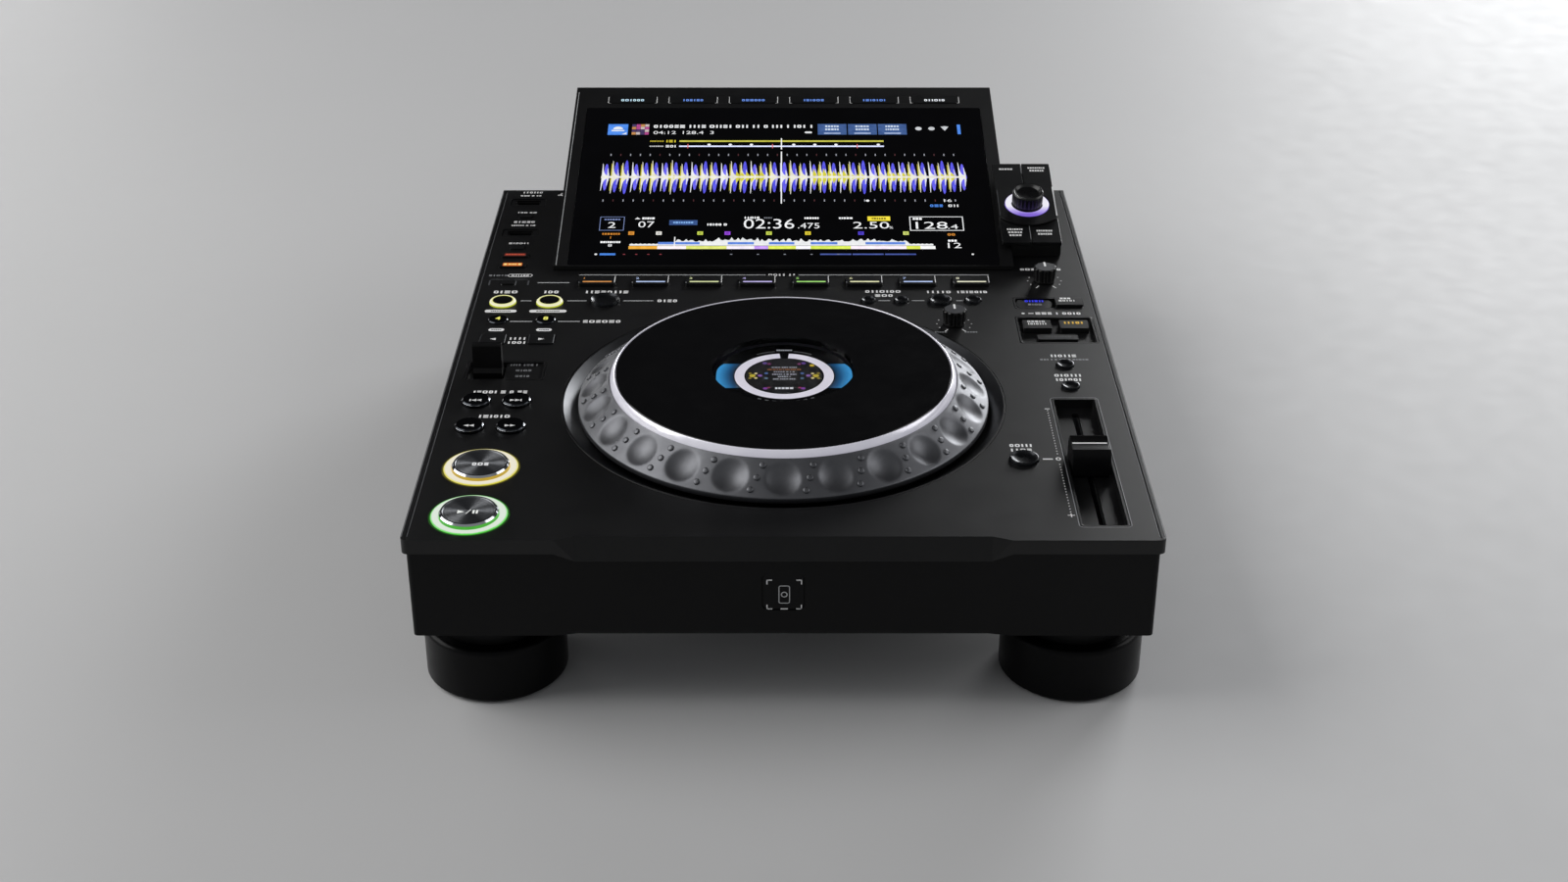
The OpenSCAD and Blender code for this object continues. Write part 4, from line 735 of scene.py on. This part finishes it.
# Small keys of the left column: the faces of the two lit ones
LIT_FACE, FACE_MARK = (0.7, 0.96), (0.9, 1.0)
mark = Piece("left_key_faces", "left_mode_keys")
mark.at(deck(COLUMNS[0], 301.3), lamp("6e2014", 0.75, 8)).bar(0, 0, 11.8, 3.6, *LIT_FACE, 0.7, 0.15)
mark.glow("cc5238", 0.8, 8).blocks(0, 0, 10.2, 1.4, *FACE_MARK, seed=5)
mark.at(deck(COLUMNS[0], 288.1), lamp("cf6824", 0.95, 10)).bar(0, 0, 10.6, 4.2, *LIT_FACE, 0.7, 0.15)
mark.glow("f8e08c", 0.95, 0)
for side in (-1, 1):
    mark.bar(side * 3.9, 0, 1.7, 2.2, 0.9, 0.99, 0.8)
mark.blocks(0, 0, 4.4, 1.4, *FACE_MARK, seed=6).make()

# Hot cue keys: a light bar and a number on each, and painted highlights on their side edges
CUE_LIGHTS = ("c88440", "aec2ea", "ccd49c", "b3a8e0", "94d468", "d8d8a8", "a8bcea", "d9d8be")
for i, (name, code) in enumerate(zip(PADS, CUE_LIGHTS)):
    mark = Piece(f"{name}_light", name).at(deck((i - 3.5) * 28.57 + 0.3, SCREEN_Y - 15.6), lamp(code, 1.0))
    mark.bar(0.2, -2.7, 15.6, 1.25, 1.5, 1.78, 0.5)
    mark.glow(code, 0.8).digits(str(i + 1), -7, 1.5, 2.3, 1.6, 1.76, bold=0)
    # Painted highlights: a white strip along each key's right edge and a short grey one low on its left edge
    mark.paint("print").bar(9.45, 0.4, 0.4, 8.6, 1.2, 1.73).paint("print_grey_and_highlight").bar(-9.45, -3.6, 0.5, 1.4, 1.2, 1.73)
    mark.make()

# Sync keys and the keys beside them
SYNC_MARK, HIGH_MARK = (0.5, 0.66), (1.1, 1.26)
mark = Piece("sync_key_faces", "sync_keys").at(deck(RIGHT - 34.2, 213.5), "print")
mark.blocks(-0.2, 3, 9, 1.9, *SYNC_MARK, seed=30).blocks(0.2, 0.2, 9.6, 1.9, *SYNC_MARK, seed=31)
mark.at(deck(RIGHT - 15.2, 213.5), lamp("e0b420", 0.95, 12)).blocks(0, 1.5, 10, 2.4, *SYNC_MARK, seed=32)
# Painted highlight: a white strip along the right edge of the lit key
mark.paint("print").bar(6.6, 0, 0.5, 6.6, 0.3, 0.56)
mark.at(deck(RIGHT - 25, 199.1), "print_dim_and_highlight").blocks(0, 0, 13.5, 1.9, 0.1, 0.26, seed=33, words=2)
mark.at(deck(RIGHT - 14.8, 240.2), "print").blocks(-1.6, 3.2, 5.6, 1.8, *HIGH_MARK, seed=34)
mark.blocks(-1, 0.4, 8.6, 1.9, *HIGH_MARK, seed=35).make()

# The mode lamp: a plate over the tray, with two rows of print on it
mark = Piece("mode_lamp_marks", "case").at(deck(RIGHT - 32.9, 240.2), "deck").bar(0, 0, 16.6, 9.6, -1.2, -0.42, 0.6)
mark.glow("3038ee", 0.95, 10).blocks(0.3, 3.3, 9.8, 2.3, -0.5, -0.36, seed=36)
mark.glow("8c8e92", 0.6).blocks(0.3, -0.8, 7, 1.9, -0.5, -0.38, seed=37).make()


# Print on the deck, in mm: middle, size, and how many words the line stands for
LABELS = [
    (-147, 393.5, 11.5, 2.6, 2), (-147.6, 388.4, 12, 1.7, 3), (-147.2, 363, 10.8, 2, 2),
    (-147.4, 349.2, 11.8, 2.6, 2), (-147.4, 344.2, 13.4, 1.7, 3), (-147.2, 318.8, 11.2, 2, 2),
    (-147.4, 254.1, 12.5, 3.3, 1), (-123.2, 254.1, 7.8, 3.3, 1), (-93.8, 254.1, 22.9, 3.3, 1),
    (-61.1, 243, 10.3, 3.1, 1), (-93.7, 217.8, 19.2, 3.1, 2), (-135, 197.6, 8.5, 2.8, 1),
    (-135, 193, 9.6, 2.8, 1), (-137, 138.5, 26.1, 2.9, 2), (-137.1, 113.4, 14.9, 2.9, 1),
    (52.8, 254.7, 18.7, 3, 1), (53.1, 249.6, 9.3, 3, 1), (82.2, 254.1, 13, 3, 1),
    (99.9, 254.1, 16.1, 3, 1), (139.3, 283.3, 21.8, 2.6, 2), (142.7, 227.5, 23.4, 2.7, 2),
    (139.9, 177.9, 12.7, 2.8, 1), (139.8, 156.2, 13.5, 2.8, 1), (139.5, 151.6, 12.5, 2.8, 1),
    (109.7, 84.6, 10.4, 2.8, 1), (109.4, 80.2, 9.9, 2.8, 1), (-0.8, 276.1, 14.8, 2.7, 2),
]
# White pills with dark print in them
PILLS = [(-147.3, 230.3, 16.6, 3.4), (-122.7, 230.3, 19.4, 3.4), (-147, 207.9, 8, 3.3), (-122.6, 207.9, 8, 3.3)]
# Lines: from, to, width
LINES = [
    (-131.6, 266, -114.6, 266, 0.8), (-138.2, 243, -132.6, 243, 0.8), (-113.8, 243, -103.6, 243, 0.8),
    (-84.3, 243, -68.4, 243, 0.8), (-141.2, 217.8, -129.6, 217.8, 0.8), (-116.4, 217.8, -105, 217.8, 0.8),
    (-110.1, 276.1, -9.6, 276.1, 0.85), (8.2, 276.1, 110.7, 276.1, 0.85), (49.9, 243.2, 56.2, 243.2, 0.7),
    (67.5, 243.2, 74.2, 243.2, 0.7), (91, 243.2, 94.4, 243.2, 0.7),
]
PRINT = (-0.06, 0.03)                     # print reaches from under the surface to just above it
marks = Piece("deck_print", "case", "deck_plastic").at(deck(), "print")
for k, (x, y, w, h, words) in enumerate(LABELS):
    marks.blocks(x, y, w, h, *PRINT, seed=100 + k, words=words)
for x, y, w, h in PILLS:
    marks.paint("print").bar(x, y, w, h, *PRINT, 1.5)
    marks.paint("print_dim_and_highlight").blocks(x, y, w * 0.62, h * 0.3, PRINT[0], PRINT[1] + 0.02, seed=int(w * 10))


def strokes(look, *rows):
    """Straight strokes of print on the deck: from, to, width."""
    marks.paint(look)
    for row in rows:
        marks.line(*row, *PRINT)


strokes("print_line_and_highlight", *LINES)
# Short bright stub beside the screen's rear corner
strokes("print", (-132, 389.4, -125.4, 389.4, 1.6), (-131.4, 389, -129.6, 392.4, 0.7),
        (-128.4, 394.6, -125.2, 394.6, 0.9))
# Dot and dash before the label of the sync keys
strokes("print", (127.3, 227.5, 130, 227.5, 0.9))
marks.dot(0.9, 14, 124.6, 227.5, *PRINT)
# Painted highlights on the edges of the time key, and the bracket around it
strokes("print_grey_and_highlight", (-150.7, 263, -150.7, 268.2, 0.5), (-143.3, 263, -143.3, 268.2, 0.5))
strokes("print_dim_and_highlight", (-157, 270.2, -137.2, 270.2, 0.6), (-157.4, 263, -157.4, 269, 0.8),
        (-136.6, 263, -136.6, 269, 0.8))
# Outlined pill beside the time key's label
marks.paint("print_grey_and_highlight").blocks(-153.7, 275.4, 10, 2.1, *PRINT, seed=61)
marks.paint("print").frame(-141.9, 275.4, 13.2, 4, 0.4, *PRINT, 1.9).blocks(-141.9, 275.4, 9.4, 1.9, *PRINT, seed=62)
# Row of the tempo ranges
marks.paint("print_grey_and_highlight").blocks(139.9, 173.7, 24, 1.7, *PRINT, seed=63, words=3)
# Painted highlights: fine bright lines around the fader's tray and along the sides of the deck, where their edges and
# grooves catch the light
marks.paint("edge_highlight").frame(FADER_X, FADER_Y, 23.2, 121.6, 0.35, *PRINT, 2.2)
for side in (-1, 1):
    strokes("edge_highlight", (side * 164.15, 3, side * 164.15, 393, 0.3), (side * 161.75, 3, side * 161.75, 393, 0.16))
# Fader scale: dots, the middle dash and its number, signs at the ends
marks.paint("print")
for k in range(-19, 20):
    if abs(k) > 1:
        marks.dot(0.34, 8, 125.8, FADER_Y + 2.5 * k, *PRINT)
marks.digits("0", 125.7, FADER_Y, 3, *PRINT)
strokes("print", (118.6, FADER_Y, 123.2, FADER_Y, 1.1), (124.6, 121, 127, 121, 0.6), (124.2, 21.2, 127.4, 21.2, 0.5),
        (125.8, 19.6, 125.8, 22.8, 0.5))
# Scales around the two small knobs
for x, y in KNOBS.values():
    for k in range(11):
        a = math.radians(240 - 30 * k)
        u, v = math.cos(a), math.sin(a)
        if k % 10:
            marks.dot(0.42, 10, x + 8.9 * u, y + 8.9 * v, *PRINT)
        else:
            marks.line(x + 7.4 * u, y + 7.4 * v, x + 10.6 * u, y + 10.6 * v, 0.55, *PRINT)
marks.paint("print_grey_and_highlight").blocks(80.4, 205.2, 6, 1.4, *PRINT, seed=64).blocks(95.8, 205.2, 6.4, 1.4, *PRINT, seed=65)
marks.make()

# A raised floor beside the lever, with its three rows
marks = Piece("lever_print", "case", "deck_plastic").at(deck(0, 0, -0.9), "deck")
marks.bar(-127.8, 161.6, 18.8, 19.4, -2.08, 0, 0.6).paint("print_grey_and_highlight")
for k, (x, y, w, words) in enumerate(((-128.7, 169.4, 13.6, 2), (-128.4, 163.4, 7.7, 1), (-128.4, 157.2, 6.9, 1))):
    marks.blocks(x, y, w, 2, *PRINT, seed=140 + k, words=words)
marks.make()


# Screen. Everything lit lies on the glass, in mm: x from its middle, v up its slope
WHITE, BLUE, YELLOW, ORANGE = "eef1f4", "3f7fe0", "e2cf2c", "e08a24"
ui = Piece("screen_picture", "case", "display").at(screen(0, -0.9))
UI_LOW = -0.08
FLAT, OVER = (UI_LOW, 0.03), (UI_LOW, 0.06)    # lit shapes on the glass, and those that lie on them


def ui_bar(x0, x1, v0, v1, code, strength=1.2, high=0.03, radius=0):
    ui.glow(code, strength).bar((x0 + x1) / 2, (v0 + v1) / 2, x1 - x0, v1 - v0, UI_LOW, high, radius)


def ui_words(seed, x0, x1, v0, v1, code=WHITE, strength=1.2, high=0.03, words=1):
    ui.glow(code, strength).blocks((x0 + x1) / 2, (v0 + v1) / 2, x1 - x0, v1 - v0, UI_LOW, high, seed, words)


def ui_digits(text, x, v, size, wide=1.45, code=WHITE, strength=1):
    ui.glow(code, strength).digits(text, x, v, size, *FLAT, wide, -0.004)


def ui_top():
    """Top row: a source tile, a small picture tile, the title, three boxes and three status marks."""
    ui_bar(-103.3, -91.6, 131.6, 143.2, BLUE, 1)
    ui.glow(WHITE, 0.9).arc(0.01, 2.9, 0, 180, *OVER, -97.4, 137.6)
    ui.bar(-97.4, 136.2, 7.6, 1.2, *OVER).prism([(-95, 132.2), (-92.2, 132.2), (-92.2, 134.2)], *OVER)
    for i in range(4):
        for k in range(4):
            code = ("c88a4a", "b23f8a", "3c2a5c", "c8b8b4")[(i * 3 + k * 2 + (i * k) % 3) % 4]
            ui_bar(-89.2 + 2.55 * i, -86.85 + 2.55 * i, 131.9 + 2.85 * k, 134.5 + 2.85 * k, code, 0.85)
    ui_words(41, -76.5, 17.4, 139.2, 142.4, WHITE, 0.95, words=2)
    for text, x in (("04:12", -69.8), ("128.4", -53.6), ("3", -42)):
        ui_digits(text, x, 133.9, 3.4, 1.3)
    ui_bar(12.4, 16.8, 133.4, 135.2, WHITE, 0.9, radius=0.9)
    for k, (x0, x1) in enumerate(((20.2, 37.1), (38, 54.9), (55.7, 72.5))):
        ui_bar(x0, x1, 131.9, 143.4, "2f4f88", 0.95)
        for row, v in enumerate((139.9, 136.6)):
            ui_words(50 + 2 * k + row, x0 + 4.4, x1 - 4.6, v, v + 1.84, "c9d8f0", 0.9, 0.06)
        ui_bar(x0 + 3.6, x1 - 3.6, 132.8, 133.8, "b4c6e8", 0.9, 0.06)
    for x in (79.5, 87.2):
        ui.glow("c9ccd0", 0.9).dot(1.9, 20, x, 138.4, *FLAT)
    ui.prism([(92.6, 140.4), (94.9, 136), (97.2, 140.4), (94.9, 141)], *FLAT)
    ui_bar(102.3, 104.2, 132.4, 142.6, BLUE, 1)


def ui_beats():
    """Two bar lines with beat dots, and the short mark of the play head."""
    for k, (v, code, bar_code) in enumerate(((124.2, YELLOW, "b5b23a"), (118.8, WHITE, "c9d0f2"))):
        ui_words(71 + 2 * k, -78, -70, v, v + 1.2, code, 0.6)
        ui_words(72 + 2 * k, -68.6, -62.6, v - 0.6, v + 1.8, code, 0.9)
        ui_bar(-60.8, 58.5, v - 0.1, v + 1.4 - 0.1 * k, bar_code)
    for i in range(10):
        x = -55.7 + 12.33 * i
        if i % 4 == 0:
            ui_bar(x - 0.3, x + 0.3, 117.4, 121.6, "c8505a", 1, 0.05)
        else:
            ui.glow(WHITE).dot(1, 14, x, 121.1, UI_LOW, 0.04)
    ui_bar(-1.55, -0.85, 116.1, 127.8, WHITE, 1, 0.1)


def ui_wave():
    """The large wave: violet-blue lobes, pale and yellow spikes that die away, and a thin bright core."""
    draw = random.Random(7)
    mid, left, pitch = 87.2, -104.2, 5.67
    fall = ((0, 1), (0.35, 0.95), (0.7, 0.55), (1.1, 0.34), (1.7, 0.2), (2.4, 0.12), (3.2, 0.06))

    def mirrored(top, code, strength, high):
        ui.glow(code, strength).prism([(x, mid - h) for x, h in top] + [(x, mid + h) for x, h in reversed(top)],
                                             UI_LOW, high)

    for i in range(37):
        x = left + 1.3 + pitch * i
        tall = 15.6 + 1.8 * (i % 4 == 2) - 1.6 * (i % 3 == 0) - 1.2 * draw.random()
        lobe = [(x + 0.35, tall * 0.72), (x + 0.85, tall * 0.95), (x + 1.4, tall), (x + 2, tall * 0.9),
                (x + 2.5, tall * 0.6), (x + 3, tall * 0.25)]
        mirrored([(x, 0.8)] + lobe + [(x + 3.5, 0.8)], "4c49dc" if i % 3 else "5d57e6", 1, 0.03)
        tall = (17 if i % 2 else 15) * draw.uniform(0.86, 1.04)
        x = left + 0.3 + pitch * i
        if i % 3:
            mirrored([(x - 0.6, tall * 0.88), (x - 0.2, tall * 0.8), (x, tall * 0.3)], "c9c02c", 0.85, 0.045)
        mirrored([(x + u, tall * f + 0.6) for u, f in fall], (WHITE, "e6e4d4", "e9e6c4")[i % 3], 0.92, 0.05)
        x, tall = x + pitch * 0.53, draw.uniform(6.5, 9.5)
        mirrored([(x + u, tall * f + 0.5) for u, f in fall[:4]], (WHITE, "c9c4f0")[i % 2], 0.85, 0.06)
    for x0, x1, share in ((-27.3, -13, 0.7), (16.8, 35.7, 0.95), (36, 46, 0.45), (59.4, 72, 0.9),
                          (90, 98, 0.5), (-66, -58, 0.35)):
        x = x0
        while x < x1:
            tall = share * draw.uniform(5, 10.5)
            mirrored([(x, tall * 0.5), (x + 0.5, tall), (x + 1.3, tall * 0.6), (x + 2.1, tall * 0.35)],
                     "d6d03a", 0.88, 0.07)
            x += 2.83
    core, x = [], left
    while x < 104.6:
        core.append((x, 0.5 + 0.4 * abs(math.sin(x * 1.1)) + draw.uniform(0, 0.4)))
        x += 0.9
    mirrored(core, "ece8dc", 0.9, 0.085)
    for i in range(37):
        x = -99.9 + pitch * i
        if x < 104:
            code = "4a1c22" if i % 4 == 1 else "a9abb6"
            ui_bar(x - 0.3, x + 0.3, 109.3, 111.3, code, 0.8)
            ui_bar(x - 2.05, x - 1.45, 62.6, 64.6, code, 0.8)
    ui_bar(-1.55, -0.85, 60.6, 113.6, WHITE, 1, 0.12)


def ui_bottom():
    """Player box, track, time, tempo and beat figures, and the whole track as a small wave."""
    ui.glow("7f92c8", 0.85).frame(-95.2, 40.9, 13.6, 13.2, 0.32, *FLAT)
    ui.glow(WHITE, 0.9).frame(85, 40.9, 29.9, 13.7, 0.55, *FLAT)
    ui.glow(WHITE, 0.94).prism([(-79.6, 45.2), (-81.2, 46.9), (-82.8, 45.2)], *FLAT)
    ui_bar(-63.4, -47.8, 39.5, 44.3, "23437e", 0.9)
    ui_bar(46.8, 59.4, 43.6, 47.9, YELLOW, 1.1)
    for k, row in enumerate((
            (-99.6, -90.8, 44.2, 45.6, "8294cc", 0.7), (-100, -90.2, 30.2, 31.8, ORANGE, 0.8),
            (-100.5, -89.6, 22.4, 24), (-78.6, -71.8, 45.1, 46.9), (-61.2, -50.2, 41.1, 42.7, "7fb0ee", 0.9, 0.06),
            (-42.4, -31.4, 39, 41, WHITE, 1.2, 0.03, 2), (-21.9, -13.4, 45.6, 47.6),
            (-10.8, -6.4, 45.8, 47.2, "80848c", 0.6), (11.7, 19.6, 45.4, 47), (30.9, 38.4, 45.4, 47),
            (49.2, 57, 45, 46.5, "7a6a10", 0.5, 0.06), (72, 77, 44.6, 46.4), (82.3, 89.4, 57.2, 59.6, BLUE, 1),
            (92.5, 98.3, 57.2, 59.6, WHITE, 0.9), (90.5, 94.6, 29.4, 31.4, ORANGE, 0.9), (90.4, 95.2, 23.7, 25.4))):
        ui_words(81 + k, *row)
    for row in (("2", -95.2, 39.2, 5.8, 1.25), ("1", -95.2, 27.4, 2.4, 1.45, ORANGE, 0.8), ("8", -95.1, 20.1, 2.6),
                ("07", -76.2, 39.8, 6, 1.12), ("02:36", -8, 40.2, 9.6, 0.98), (".475", 14, 38.6, 5.4, 1),
                ("2.50", 48.6, 39, 6.6, 1.32), ("%", 59.6, 37, 2.4, 1), ("128", 81, 38.8, 7, 1.44),
                (".4", 93.8, 37.7, 4.4), ("16", 92, 63.4, 2.9), ("12", 93, 19.8, 5.2, 1.35)):
        ui_digits(*row)
    ui.dot(1, 14, 47.4, 63.4, UI_LOW, 0.04)
    for x, code in ((-84, "e8952a"), (-68.8, "f2ede4"), (-46, "cfe04c"), (-30.9, "9a3fe8"), (-8, "cfe04c"),
                    (13.5, "e6cf24"), (42.8, "4a35d8"), (67.6, "d3e06a")):
        ui_bar(x - 1.6, x + 1.6, 30.1, 33.3, code, 0.85)
        ui.glow("20242c", 0.2).bar(x, 31.6, 1.7, 0.6, *OVER)
    parts = ((-84.8, "d99a2c"), (-69.1, "ecdfe4"), (-53.3, "ccd26a"), (-31.1, "e4dcec"), (-15.9, "b58ae2"),
             (-8.3, "cdd84c"), (6.8, "e2e0ea"), (14.9, "c6d84a"), (36.9, "ebdcea"), (67.4, "ccd64a"),
             (75, "e6e6e6"), (83.2, None))
    for (x0, code), (x1, _) in zip(parts, parts[1:]):
        ui_bar(x0, x1 - 0.02, 16.7, 19.5, code, 1.15)
    draw, top = random.Random(21), []
    for i in range(141):
        x = -84.4 + 1.19 * i
        quiet = i < 21 or i > 128
        if quiet:
            tall = 1.2 + 0.5 * (i % 2)
        else:
            tall = 3.4 + 3.2 * draw.random() * (1 if i % 3 else 0.3) + 1.2 * (40 < i < 60)
        top.append((x, 20.1 + tall))
    ui.glow(WHITE, 0.9).prism([(top[0][0], 19.9), (top[-1][0], 19.9)] + top[::-1], *FLAT)
    for x0, x1 in ((-68.8, -46), (-30.6, -16.2), (-8, 6), (14.9, 29.6), (45, 66.8)):
        ui_bar(x0, x1, 21, 23.2, "4f78d0", 1, 0.055)
    ui_bar(-60.1, -59.5, 19.6, 28, WHITE, 1, 0.08)
    ui.glow(WHITE, 0.94).dot(0.8, 12, -102.3, 11.8, *FLAT).dot(0.7, 12, 103.2, 11.8, *FLAT)
    ui_bar(-100.2, -91.6, 10.9, 12.7, BLUE, 0.95)
    for k in range(9):
        x = -87.5 + 14.6 * k / (1 if k > 3 else 2.2)
        ui_bar(x, x + 1.2, 11.4, 12.1, "93303c" if k < 4 else "8f93a0", 0.7)
    for x0, x1 in ((20, 36.9), (37.7, 54.6), (55.4, 72.3)):
        ui_bar(x0, x1, 11.2, 12.4, "3a4d9c", 0.95)


ui_top()
ui_beats()
ui_wave()
ui_bottom()
ui.make()

# Menu keys: a pale line of print on each, and painted highlights on the edges beside them
KEY_PITCH = 36.2
mark = Piece("menu_key_marks", "menu_keys")
for k, code in enumerate(("bfe2ff", "5c86de", "5c86de", "5c86de", "5c86de", "e6ecfa")):
    mark.at(screen((k - 2.5) * KEY_PITCH, 168.7), lamp(code, 0.92, 20))
    mark.blocks(0, 0, 13.6 - 1.5 * (k % 2), 2.3, 0.1, 0.24, seed=110 + k)
mark.make()
# Painted highlights: white lines on the edges beside each menu key
mark = Piece("screen_edge_highlights", "case", "deck_plastic")
for k in range(6):
    for side in (-1, 1):
        mark.at(screen((k - 2.5) * KEY_PITCH + 0.1 + side * 14.5, 169.3), "print")
        mark.bar(0, 0, 0.4, 7, *PRINT).bar(-side * 0.6, -3.4, 1.4, 0.4, *PRINT)
# Painted highlight: a pale line along the screen housing's left edge
mark.at(screen(), "print_line_and_highlight").line(-123.2, 1, -123.2, 178, 0.35, *PRINT)
mark.make()


# Browse pod: the lit ring around its knob, print on its keys, and painted highlights on its edges
POD_X, POD_V, POD_MARK = 135.75, 51.3, (4.1, 4.38)
place = screen(POD_X, POD_V)
middle = place.translation.y
LOOK["pod_light"] = graded("lit_pod_ring", middle - 0.0115, middle + 0.004,
                           ((0.05, "8466d8"), (0.25, "b9a8ee"), (0.5, "f0eef8")), 0.95)
ring = Piece("browse_ring", "case").at(place, "pod_light")
ring.lathe([(8.8, 4.6), (12.1, 4.6), (12.1, 5.55), (11.8, 5.8), (8.8, 5.8)])
ring.glow("6f55c8", 0.8)
ring.lathe([(12.1, 4.7), (12.3, 4.7), (12.3, 5.4), (12.1, 5.56)])
ring.make(["light_rings"])
mark = Piece("browse_key_print", "browse_keys").at(place, "print")
for x, v, w in ((-9, 36.6, 7.6), (8.4, 37.8, 9.6), (8.4, 35, 8)):
    mark.blocks(x, v, w, 1.5, *POD_MARK, seed=int(120 + x + v))
for x, rows in ((-8.6, (-23, -25.8, -28.6)), (7.6, (-24.4, -27.4))):
    for k, v in enumerate(rows):
        mark.blocks(x, v, 8.6 - k, 1.5, *POD_MARK, seed=int(130 + x + v))
# Painted highlights: grey lines on the edges of the gaps between the keys
mark.paint("print_grey_and_highlight").bar(-0.35, -25.5, 0.35, 14, 4.1, 4.36).bar(-0.35, 36, 0.35, 8, 4.1, 4.36)
mark.make()
# Painted highlights: a white line along the platform's right edge and a dim one along its left edge
mark = Piece("browse_platform_highlights", "case", "deck_plastic").at(place, "print").bar(15.6, 2.6, 0.75, 28.6, 5.3, 5.6)
mark.paint("print_dim_and_highlight").bar(-15.75, 1, 0.4, 25, 5.3, 5.58)
mark.make()


# Fader cap: a white line across its top
Piece("fader_line", "tempo_slider", "knob_plastic").at(deck(FADER_X, FADER_Y), "print").bar(
    0, 1.75, 15.8, 1, 6.95, 7.42).make()

# Pointers on the two small knobs
for name, (x, y) in KNOBS.items():
    mark = Piece(f"{name}_pointer", name, "knob_plastic").at(deck(x, y), "knob_top")
    mark.lathe([(0, KNOB_TOP - 0.2), (5.2, KNOB_TOP - 0.2), (5.2, KNOB_TOP + 0.04), (0, KNOB_TOP + 0.05)], 48)
    mark.paint("print").bar(0, 2.9, 1.1, 5.4, KNOB_TOP - 0.2, KNOB_TOP + 0.12, 0.3).make()

# Front mark: corner brackets around an outline with a ring in it
NOSE_MARK = (-0.2, 0.04)
mark = Piece("front_mark", "case", "deck_plastic").at(facing(0.4, 2.3, 61.1), "print")
for sx in (-1, 1):
    for sy in (-1, 1):
        mark.bar(sx * 6.4, sy * 7.4, 2.4, 0.5, *NOSE_MARK, 0.2).bar(sx * 7.5, sy * 6.4, 0.5, 2.4, *NOSE_MARK, 0.2)
mark.bar(0, -7.4, 3.2, 0.6, *NOSE_MARK).paint("print_line_and_highlight").frame(0, 0, 5, 9.2, 0.38, *NOSE_MARK, 1)
mark.arc(1, 1.45, 0, 360, *NOSE_MARK, count=32).make()

# Rear: metal sleeves on the three round jacks
JACK_Y, JACK_Z = 430.2, 56.75             # where the jacks end behind the rear panel, and their height
for k, x in enumerate((-8, 8, 30)):
    sleeve = Piece(f"phono_jack_{k + 1}", "case", "socket_plastic").at(facing(x, JACK_Y, JACK_Z, 180), "chrome")
    sleeve.lathe([(4.2, -6.8), (4.5, -6.8), (4.5, -0.3), (4.3, 0), (3.4, 0), (3.3, -0.3), (3.3, -0.6), (4.2, -0.6)], 48)
    sleeve.make()


# Studio: a flat pale floor, soft lights, a sky that is dark behind, and the camera
def studio():
    floor = bpy.data.meshes.new("floor")
    reach = 8.0
    floor.from_pydata([(-reach, -reach, 0), (reach, -reach, 0), (reach, reach, 0), (-reach, reach, 0)], [],
                      [[0, 1, 2, 3]])
    floor.materials.append(moulded("studio_floor", "c9c9ca", "cfcfd0", 0.55, 0.04, 60, 0.05, 0.6))
    item = put("floor", floor)
    for name, at, aim, size, power, colour in (
            ("key", (-1.6, 0.05, 1.2), (0, 0, 0.05), (1.7, 1.9), 30, (1.0, 0.995, 0.98)),
            ("fill", (1.7, 0.1, 0.9), (0, 0, 0.05), (1.2, 1.2), 9, (1.0, 1.0, 1.0)),
            ("rim", (-1.3, 2.0, 0.32), (-0.1, 0, 0.09), (0.7, 0.3), 3, (1.0, 1.0, 1.0)),
            ("glint", (-1.3, 1.7, 1.05), (0, 0, 0.09), (0.3, 0.25), 0.5, (1.0, 1.0, 1.0)),
            ("sheen", (1.97, 3.74, 1.08), (0.1, 0, 0.09), (1.76, 1.43), 101, (0.98, 0.99, 1.0))):
        light = bpy.data.lights.new(name, "AREA")
        light.shape, light.size, light.size_y, light.energy, light.color = "RECTANGLE", size[0], size[1], power, colour
        item = put(name, light)
        item.location = at
        item.rotation_euler = (Vector(aim) - Vector(at)).to_track_quat("-Z", "Y").to_euler()
    scene = bpy.context.scene
    world = bpy.data.worlds.new("studio")
    scene.world = world
    world.use_nodes = True
    tree = world.node_tree
    way = add_node(tree, "ShaderNodeTexCoord").outputs["Generated"]
    way = add_node(tree, "ShaderNodeSeparateXYZ", {0: way}).outputs["Y"]
    back = add_node(tree, "ShaderNodeMapRange", {"Value": way, "From Min": -1.0, "From Max": 1.0})
    sky = add_node(tree, "ShaderNodeValToRGB", {"Fac": back.outputs["Result"]})
    band = sky.color_ramp.elements
    band[0].position, band[0].color = 0.3, (0.24, 0.245, 0.25, 1)
    band[1].position, band[1].color = 0.62, (0.025, 0.025, 0.027, 1)
    tree.links.new(sky.outputs["Color"], tree.nodes["Background"].inputs["Color"])
    camera = bpy.data.cameras.new("camera")
    camera.lens, camera.sensor_width, camera.clip_end = 50, 36, 50
    eye = put("camera", camera)
    eye.location = (0.0003, FRONT - 0.7982, 0.5737)
    eye.rotation_euler = (math.radians(61.4), 0, 0)
    bpy.context.scene.camera = eye
    scene.view_settings.view_transform = "Standard"


studio()
